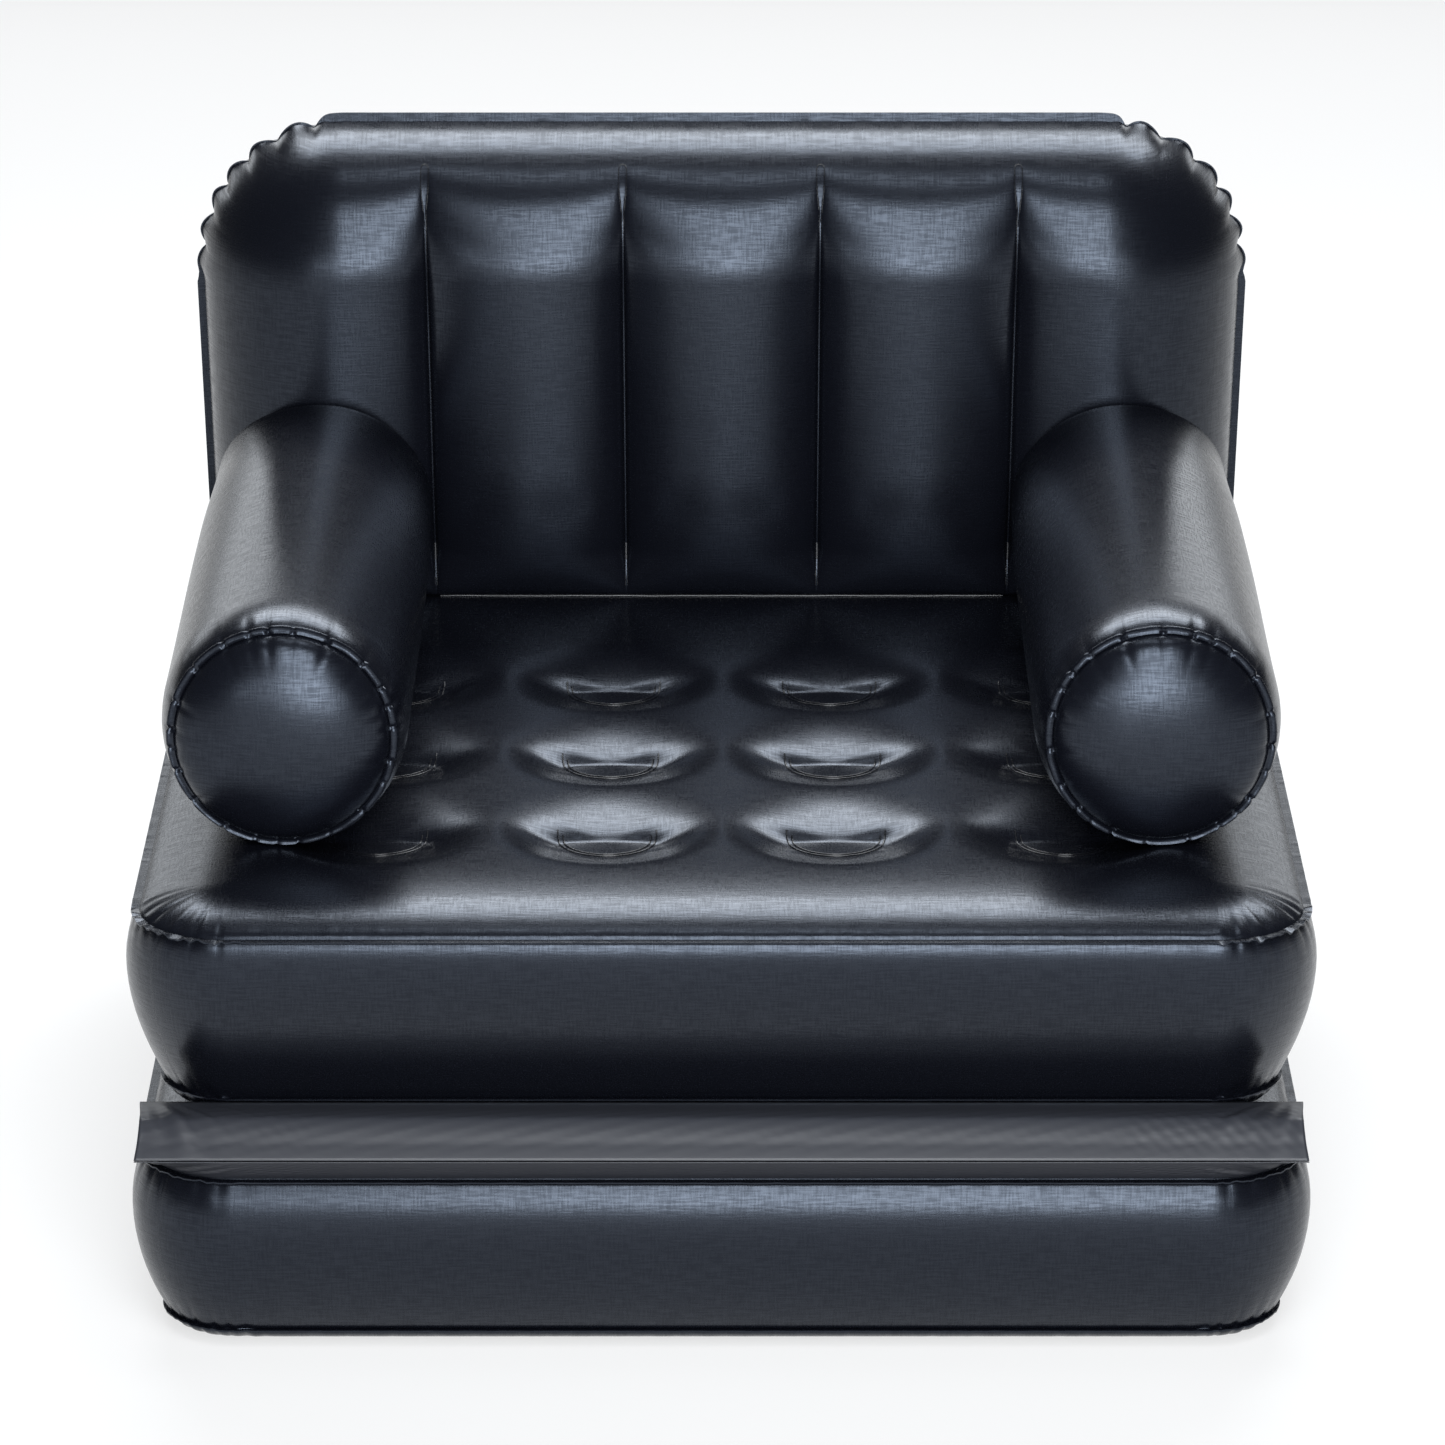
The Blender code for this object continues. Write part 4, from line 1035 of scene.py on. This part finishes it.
def well_arcs(coils, seam, crown, reach, side):
    """The two lines of each coil beam's weld, where it shows at the front of its well."""
    paths = []
    for cx, cy in coils:
        for radius, turn in ((COIL_RADIUS, 1.62), (COIL_RADIUS - BEAD_GAP, 1.5)):
            turns = np.linspace(-turn, turn, 60)
            places = np.column_stack([cx + radius * np.sin(turns),
                                      cy - side * radius * np.cos(turns)])
            depth = np.full(len(places), reach)
            lift = leaf_lift(places, depth, turns, crown, reach, coils, side, 0)
            paths.append(np.column_stack([places, seam + side * (lift + BEAD_LIFT)]))
    return paths


def on_back(x, z, off):
    """Points on the backrest's front sheet."""
    y = RIDGE_Y - back_lift(x, z, CREASE_DEPTH, FRONT_SWELL) - off
    return np.column_stack([x * narrowing(z), y, z])


def weld_outlines():
    """The narrow outline of each backrest weld, round its tab and down to its foot."""
    top = BACK_TOP - WELD_TOP_DROP
    down = np.linspace(top - TAB_HALF, BACK_FOOT + WELD_BEAD_RISE, 90)
    turns = np.linspace(math.pi, 0, 12)[1:-1]
    paths = []
    for line in WELD_LINES:
        middle = line * CHANNEL_PITCH
        x = np.concatenate([middle - weld_half(down[::-1]), middle + TAB_HALF * np.cos(turns),
                            middle + weld_half(down)])
        z = np.concatenate([down[::-1], top - TAB_HALF + TAB_HALF * np.sin(turns), down])
        paths.append(on_back(x, z, 0.0))
    return paths


def make_beads(material):
    """The beads of the coil beams' welds, the backrest's welds and the crease at its foot."""
    tree_parts = bead_tree(material)
    arcs = well_arcs(SEAT_COILS, SEAT_TOP_SEAM, SEAT_CREST - SEAT_TOP_SEAM, CROWN_REACH, 1)
    lay_beads("seat_weld_beads", arcs, BEAD_RADIUS, "seat", tree_parts, material)
    arcs = well_arcs(BASE_COILS, BASE_BOTTOM_SEAM, BASE_BOTTOM_SEAM - base_under[0].z, UNDER_REACH,
                     -1)
    lay_beads("base_weld_beads", arcs, BEAD_RADIUS, "base", tree_parts, material)
    lay_beads("backrest_weld_beads", weld_outlines(), WELD_BEAD_RADIUS, "seat", tree_parts, material)
    x = np.linspace(-CREASE_BEAD_HALF, CREASE_BEAD_HALF, 120)
    foot = on_back(x, np.full_like(x, BACK_FOOT + 0.0004), 0.0012)
    foot[:, 2] = SEAT_CREST + 0.0005 + 0.0002 * waver(x, (0.12, 0.05), 1.0)
    lay_beads("crease_weld_bead", [foot], CREASE_BEAD_RADIUS, "seat", tree_parts, material)


# Valves


def lathe(profile, place):
    """A ring-shaped section turned round an axis along Y."""
    turns = 2 * math.pi * np.arange(LATHE_POINTS) / LATHE_POINTS
    loops = [np.column_stack([place[0] + r * np.cos(turns), np.full(LATHE_POINTS, place[1] + y),
                              place[2] + r * np.sin(turns)]) for r, y in profile]
    faces = loop_faces(LATHE_POINTS, len(loops)).tolist()
    last = np.arange(LATHE_POINTS) + (len(loops) - 1) * LATHE_POINTS
    faces += ring_faces(last, np.arange(LATHE_POINTS)).tolist()
    points = np.concatenate(loops)
    return points, np.array(faces), np.column_stack([points[:, 0], points[:, 2]])


def strap_part(place, hinge):
    """The strap from a plug's edge down to where it bends."""
    side = STRAP_HALF_WIDTH
    top = place[2] - PLUG_RADIUS + 0.0016
    route = [(hinge.z - 0.0004, hinge.y - 0.0004), (hinge.z + 0.0012, hinge.y - 0.0003),
             (hinge.z + 0.0030, hinge.y + 0.0006), (top - 0.0030, place[1] - 0.0022),
             (top - 0.0012, place[1] - 0.0008), (top + 0.0010, place[1] - 0.0005)]
    loops = []
    for z, y in route:
        half = STRAP_THICKNESS / 2
        ring = [(-side, -half), (-side + 0.0005, half), (side - 0.0005, half), (side, -half)]
        loops.append(np.array([(place[0] + dx, y + dy, z) for dx, dy in ring]))
    faces = loop_faces(4, len(loops)).tolist() + [[3, 2, 1, 0]]
    last = 4 * (len(loops) - 1)
    faces.append([last, last + 1, last + 2, last + 3])
    points = np.concatenate(loops)
    return points, np.array(faces), np.column_stack([points[:, 0], points[:, 2]])


def make_valve_body(kind, place, plastic):
    """A valve's flange, its grip ribs and its neck, welded to the film."""
    top = FLANGE_THICKNESS + LIP_HEIGHT
    body = [(BORE_RADIUS, -NECK_LENGTH), (NECK_RADIUS, -NECK_LENGTH), (NECK_RADIUS, 0),
            (0.0150, 0), (FLANGE_RADIUS - 0.0008, 0), (FLANGE_RADIUS, 0.0004),
            (FLANGE_RADIUS, 0.0008), (FLANGE_RADIUS - 0.0008, 0.0012), (0.0172, 0.0011),
            (0.0168, 0.0015), (0.0162, 0.0015), (0.0158, 0.0011), (0.0146, 0.0011),
            (0.0142, 0.0015), (0.0132, 0.0015), (0.0126, 0.0017), (NECK_RADIUS, 0.0030),
            (NECK_RADIUS, top - 0.0008), (NECK_RADIUS - 0.0006, top - 0.0001),
            (BORE_RADIUS + 0.0008, top), (BORE_RADIUS, top - 0.0007)]
    piece = skin(kind + "_valve_body_skin", [lathe(body, place)], plastic, 35)
    settle(piece, "base" if kind == "base" else "seat", "valve_plastic", kind + "_valve_body")


def make_valve_plug(kind, place, plastic):
    """A valve's push-in plug with the strap that it swings on."""
    joint = next(j for j in frame["joints"] if j["name"] == kind + "_plug_swing")
    under = place[1] + (FLANGE_THICKNESS + LIP_HEIGHT) + VALVE_GAP
    plug = [(0.0001, PLUG_THICKNESS - 0.0008), (0.0040, PLUG_THICKNESS - 0.0007),
            (0.0048, PLUG_THICKNESS), (PLUG_RADIUS - 0.0010, PLUG_THICKNESS),
            (PLUG_RADIUS, PLUG_THICKNESS - 0.0009), (PLUG_RADIUS, 0.0007),
            (PLUG_RADIUS - 0.0006, 0), (STEM_RADIUS, 0), (STEM_RADIUS, -0.0012),
            (STEM_RADIUS + 0.0003, -0.0018), (STEM_RADIUS, -0.0024),
            (STEM_RADIUS - 0.0007, -STEM_LENGTH), (0.0001, -STEM_LENGTH)]
    strap_place = (place[0], under + PLUG_THICKNESS / 2 + 0.0006, place[2])
    parts = [lathe(plug, (place[0], under, place[2])),
             strap_part(strap_place, Vector(joint["pos_m"]))]
    piece = skin(kind + "_valve_plug_skin", parts, plastic, 35)
    settle(piece, kind + "_plug", "valve_plastic", kind + "_valve_plug")


def make_valve_flap(kind, rubber):
    """The soft disc that shuts a valve's bore from inside."""
    low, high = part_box(kind + "_valve_flap")
    radius, depth = (high.x - low.x) / 2, high.y - low.y
    flap = [(0.0001, 0), (radius - 0.0008, 0), (radius - 0.0001, depth * 0.3),
            (radius - 0.0001, depth * 0.7), (radius - 0.0006, depth), (0.0030, depth),
            (0.0001, depth * 0.8)]
    place = ((low.x + high.x) / 2, low.y, (low.z + high.z) / 2)
    piece = skin(kind + "_valve_flap_skin", [lathe(flap, place)], rubber, 35)
    settle(piece, kind + "_flap", "flap_rubber", kind + "_valve_flap")


def make_valve(kind, plastic, rubber):
    """A valve: its welded body, its plug on a strap, and the soft flap inside."""
    low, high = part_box(kind + "_valve_body")
    face = high.y - LIP_HEIGHT - FLANGE_THICKNESS
    place = ((low.x + high.x) / 2, face, (low.z + high.z) / 2)
    make_valve_body(kind, place, plastic)
    make_valve_plug(kind, place, plastic)
    make_valve_flap(kind, rubber)


# Materials


def finish(name, colour, roughness):
    material = bpy.data.materials.new(name)
    material.use_nodes = True
    shader = material.node_tree.nodes["Principled BSDF"]
    shader.inputs["Base Color"].default_value = (*colour, 1)
    shader.inputs["Roughness"].default_value = roughness
    return material, material.node_tree.nodes, material.node_tree.links, shader


def streaks(nodes, links, source, along, across):
    """A noise drawn out into short threads that run along one way of the cloth."""
    mapping = nodes.new("ShaderNodeMapping")
    mapping.inputs["Scale"].default_value = (along, across, 1)
    links.new(source, mapping.inputs["Vector"])
    noise = nodes.new("ShaderNodeTexNoise")
    noise.noise_dimensions = "2D"
    noise.inputs["Scale"].default_value = 1
    noise.inputs["Detail"].default_value = 2
    links.new(mapping.outputs["Vector"], noise.inputs["Vector"])
    return noise.outputs["Fac"]


def vinyl_finish():
    """Satin black vinyl with a fine embossed linen grain."""
    material, nodes, links, shader = finish("black_vinyl", (0.0042, 0.0047, 0.0075), 0.32)
    shader.inputs["Specular IOR Level"].default_value = 0.42
    shader.inputs["Specular Tint"].default_value = (0.70, 0.81, 1.0, 1)
    cloth = nodes.new("ShaderNodeUVMap")
    cloth.uv_map = "cloth"
    level = streaks(nodes, links, cloth.outputs["UV"], 52, 620)
    upright = streaks(nodes, links, cloth.outputs["UV"], 640, 70)
    weave = nodes.new("ShaderNodeMix")
    weave.inputs["Factor"].default_value = 0.42
    links.new(level, weave.inputs["A"])
    links.new(upright, weave.inputs["B"])
    spread = {"Roughness": (0.3, 0.7, 0.21, 0.33), "Specular IOR Level": (0.36, 0.64, 0.50, 0.34)}
    for socket, limits in spread.items():
        scaled = nodes.new("ShaderNodeMapRange")
        for name, limit in zip(("From Min", "From Max", "To Min", "To Max"), limits):
            scaled.inputs[name].default_value = limit
        links.new(weave.outputs["Result"], scaled.inputs["Value"])
        links.new(scaled.outputs["Result"], shader.inputs[socket])
    swell = nodes.new("ShaderNodeTexNoise")
    swell.inputs["Scale"].default_value = 22
    swell.inputs["Detail"].default_value = 1
    place = nodes.new("ShaderNodeTexCoord")
    links.new(place.outputs["Object"], swell.inputs["Vector"])
    broad = nodes.new("ShaderNodeBump")
    broad.inputs["Strength"].default_value = 0.12
    broad.inputs["Distance"].default_value = 0.002
    links.new(swell.outputs["Fac"], broad.inputs["Height"])
    grain = nodes.new("ShaderNodeBump")
    grain.inputs["Strength"].default_value = 0.3
    grain.inputs["Distance"].default_value = 0.0003
    links.new(weave.outputs["Result"], grain.inputs["Height"])
    links.new(broad.outputs["Normal"], grain.inputs["Normal"])
    links.new(grain.outputs["Normal"], shader.inputs["Normal"])
    return material


def plain_finish(name, colour, roughness, grain_scale):
    """A moulded or plain film finish with a slight grain."""
    material, nodes, links, shader = finish(name, colour, roughness)
    place = nodes.new("ShaderNodeTexCoord")
    noise = nodes.new("ShaderNodeTexNoise")
    noise.inputs["Scale"].default_value = grain_scale
    links.new(place.outputs["Object"], noise.inputs["Vector"])
    bump = nodes.new("ShaderNodeBump")
    bump.inputs["Strength"].default_value = 0.2
    bump.inputs["Distance"].default_value = 0.0002
    links.new(noise.outputs["Fac"], bump.inputs["Height"])
    links.new(bump.outputs["Normal"], shader.inputs["Normal"])
    return material


# Studio


def pale_finish(name, colour, glow):
    """A pale matt stage that seen rays find lit, while the light on it still comes from lamps."""
    material, nodes, links, shader = finish(name, colour, 0.9)
    shader.inputs["Specular IOR Level"].default_value = 0.0
    path = nodes.new("ShaderNodeLightPath")
    seen = nodes.new("ShaderNodeMath")
    seen.operation = "MAXIMUM"
    links.new(path.outputs["Is Camera Ray"], seen.inputs[0])
    links.new(path.outputs["Is Glossy Ray"], seen.inputs[1])
    either = nodes.new("ShaderNodeMath")
    either.operation = "MAXIMUM"
    links.new(seen.outputs[0], either.inputs[0])
    links.new(path.outputs["Is Transmission Ray"], either.inputs[1])
    strength = nodes.new("ShaderNodeMath")
    strength.operation = "MULTIPLY"
    strength.inputs[1].default_value = glow
    links.new(either.outputs[0], strength.inputs[0])
    shader.inputs["Emission Color"].default_value = (1, 1, 1, 1)
    links.new(strength.outputs[0], shader.inputs["Emission Strength"])
    return material


def stage_plane(name, corners, material):
    mesh = bpy.data.meshes.new(name)
    mesh.from_pydata(corners, [], [(0, 1, 2, 3)])
    plane = bpy.data.objects.new(name, mesh)
    plane.data.materials.append(material)
    bpy.context.scene.collection.objects.link(plane)
    return plane


def make_studio():
    """A pale floor, soft boxes round the chair, and a dim sky."""
    pale = pale_finish("studio_floor", (0.31, 0.31, 0.31), FLOOR_GLOW)
    reach = FLOOR_REACH
    floor = stage_plane("studio_floor", [(-reach, -reach, 0), (reach, -reach, 0),
                                         (reach, reach, 0), (-reach, reach, 0)], pale)
    soft_box("crown_box", (0.1, 1.9, 3.1), (0, -0.1, 0.4), 3.4, 1.5, 9.0)
    soft_box("top_box", (0.1, -0.25, 3.35), (0, -0.2, 0.4), 0.5, 1.3, 4.0)
    soft_box("front_card", (0.0, -3.6, 0.9), (0, 0.0, 0.35), 3.6, 0.8, 3.0)
    soft_box("front_strip", (0.24, -3.35, 2.15), (0.1, 0.0, 0.45), 1.45, 4.3, 9.5)
    soft_box("rear_card", (0.0, 4.6, 1.5), (0, 0.0, 0.6), 8.0, 1.5, 1.8)
    world = bpy.context.scene.world or bpy.data.worlds.new("studio")
    bpy.context.scene.world = world
    world.use_nodes = True
    world.node_tree.nodes["Background"].inputs["Color"].default_value = (0.9, 0.94, 1, 1)
    world.node_tree.nodes["Background"].inputs["Strength"].default_value = SKY_STRENGTH


def soft_box(name, place, target, width, height, brightness):
    """A soft box whose face has the given brightness."""
    light = bpy.data.lights.new(name, "AREA")
    light.shape = "RECTANGLE"
    light.size, light.size_y = width, height
    light.energy = brightness * math.pi * width * height
    light.color = (0.94, 0.97, 1.0)
    lamp = bpy.data.objects.new(name, light)
    lamp.location = place
    aim = Vector(target) - Vector(place)
    lamp.rotation_euler = aim.to_track_quat("-Z", "Y").to_euler()
    lamp.visible_camera = False
    bpy.context.scene.collection.objects.link(lamp)


def make_camera():
    data = bpy.data.cameras.new("camera")
    data.sensor_width = SENSOR
    data.lens = FOCAL_PIXELS / PHOTO_SIDE * SENSOR
    data.shift_x = SHIFT_PIXELS / PHOTO_SIDE
    camera = bpy.data.objects.new("camera", data)
    camera.location = (0, FRONT - CAMERA_AHEAD, CAMERA_HEIGHT)
    camera.rotation_euler = (math.pi / 2 - CAMERA_TILT, 0, 0)
    bpy.context.scene.collection.objects.link(camera)
    bpy.context.scene.camera = camera


vinyl = vinyl_finish()
seam_film = plain_finish("seam_film", (0.0065, 0.007, 0.0095), 0.22, 160)
# The web's film is painted several times lighter than the black vinyl it is made of: a painted
# highlight standing in for the light on its ledge.
painted_light_web_film = plain_finish("painted_light_web_film", (0.030, 0.032, 0.040), 0.42, 120)
inner_film = plain_finish("inner_film", (0.020, 0.021, 0.026), 0.5, 90)
valve_plastic = plain_finish("valve_plastic", (0.030, 0.031, 0.035), 0.42, 400)
flap_rubber = plain_finish("flap_rubber", (0.055, 0.055, 0.058), 0.6, 300)
for piece in frame["nodes"].values():
    piece.data.materials.clear()
    piece.data.materials.append(inner_film)

make_seat_leaf(vinyl)
make_base_leaf(vinyl)
make_backrest(vinyl)
make_arm("left", 1.3, vinyl)
make_arm("right", 4.9, vinyl)
make_web(painted_light_web_film)
make_beads(seam_film)
for kind in ("seat", "base", "back"):
    make_valve(kind, valve_plastic, flap_rubber)
make_studio()
make_camera()
bpy.context.scene.view_settings.view_transform = "Standard"
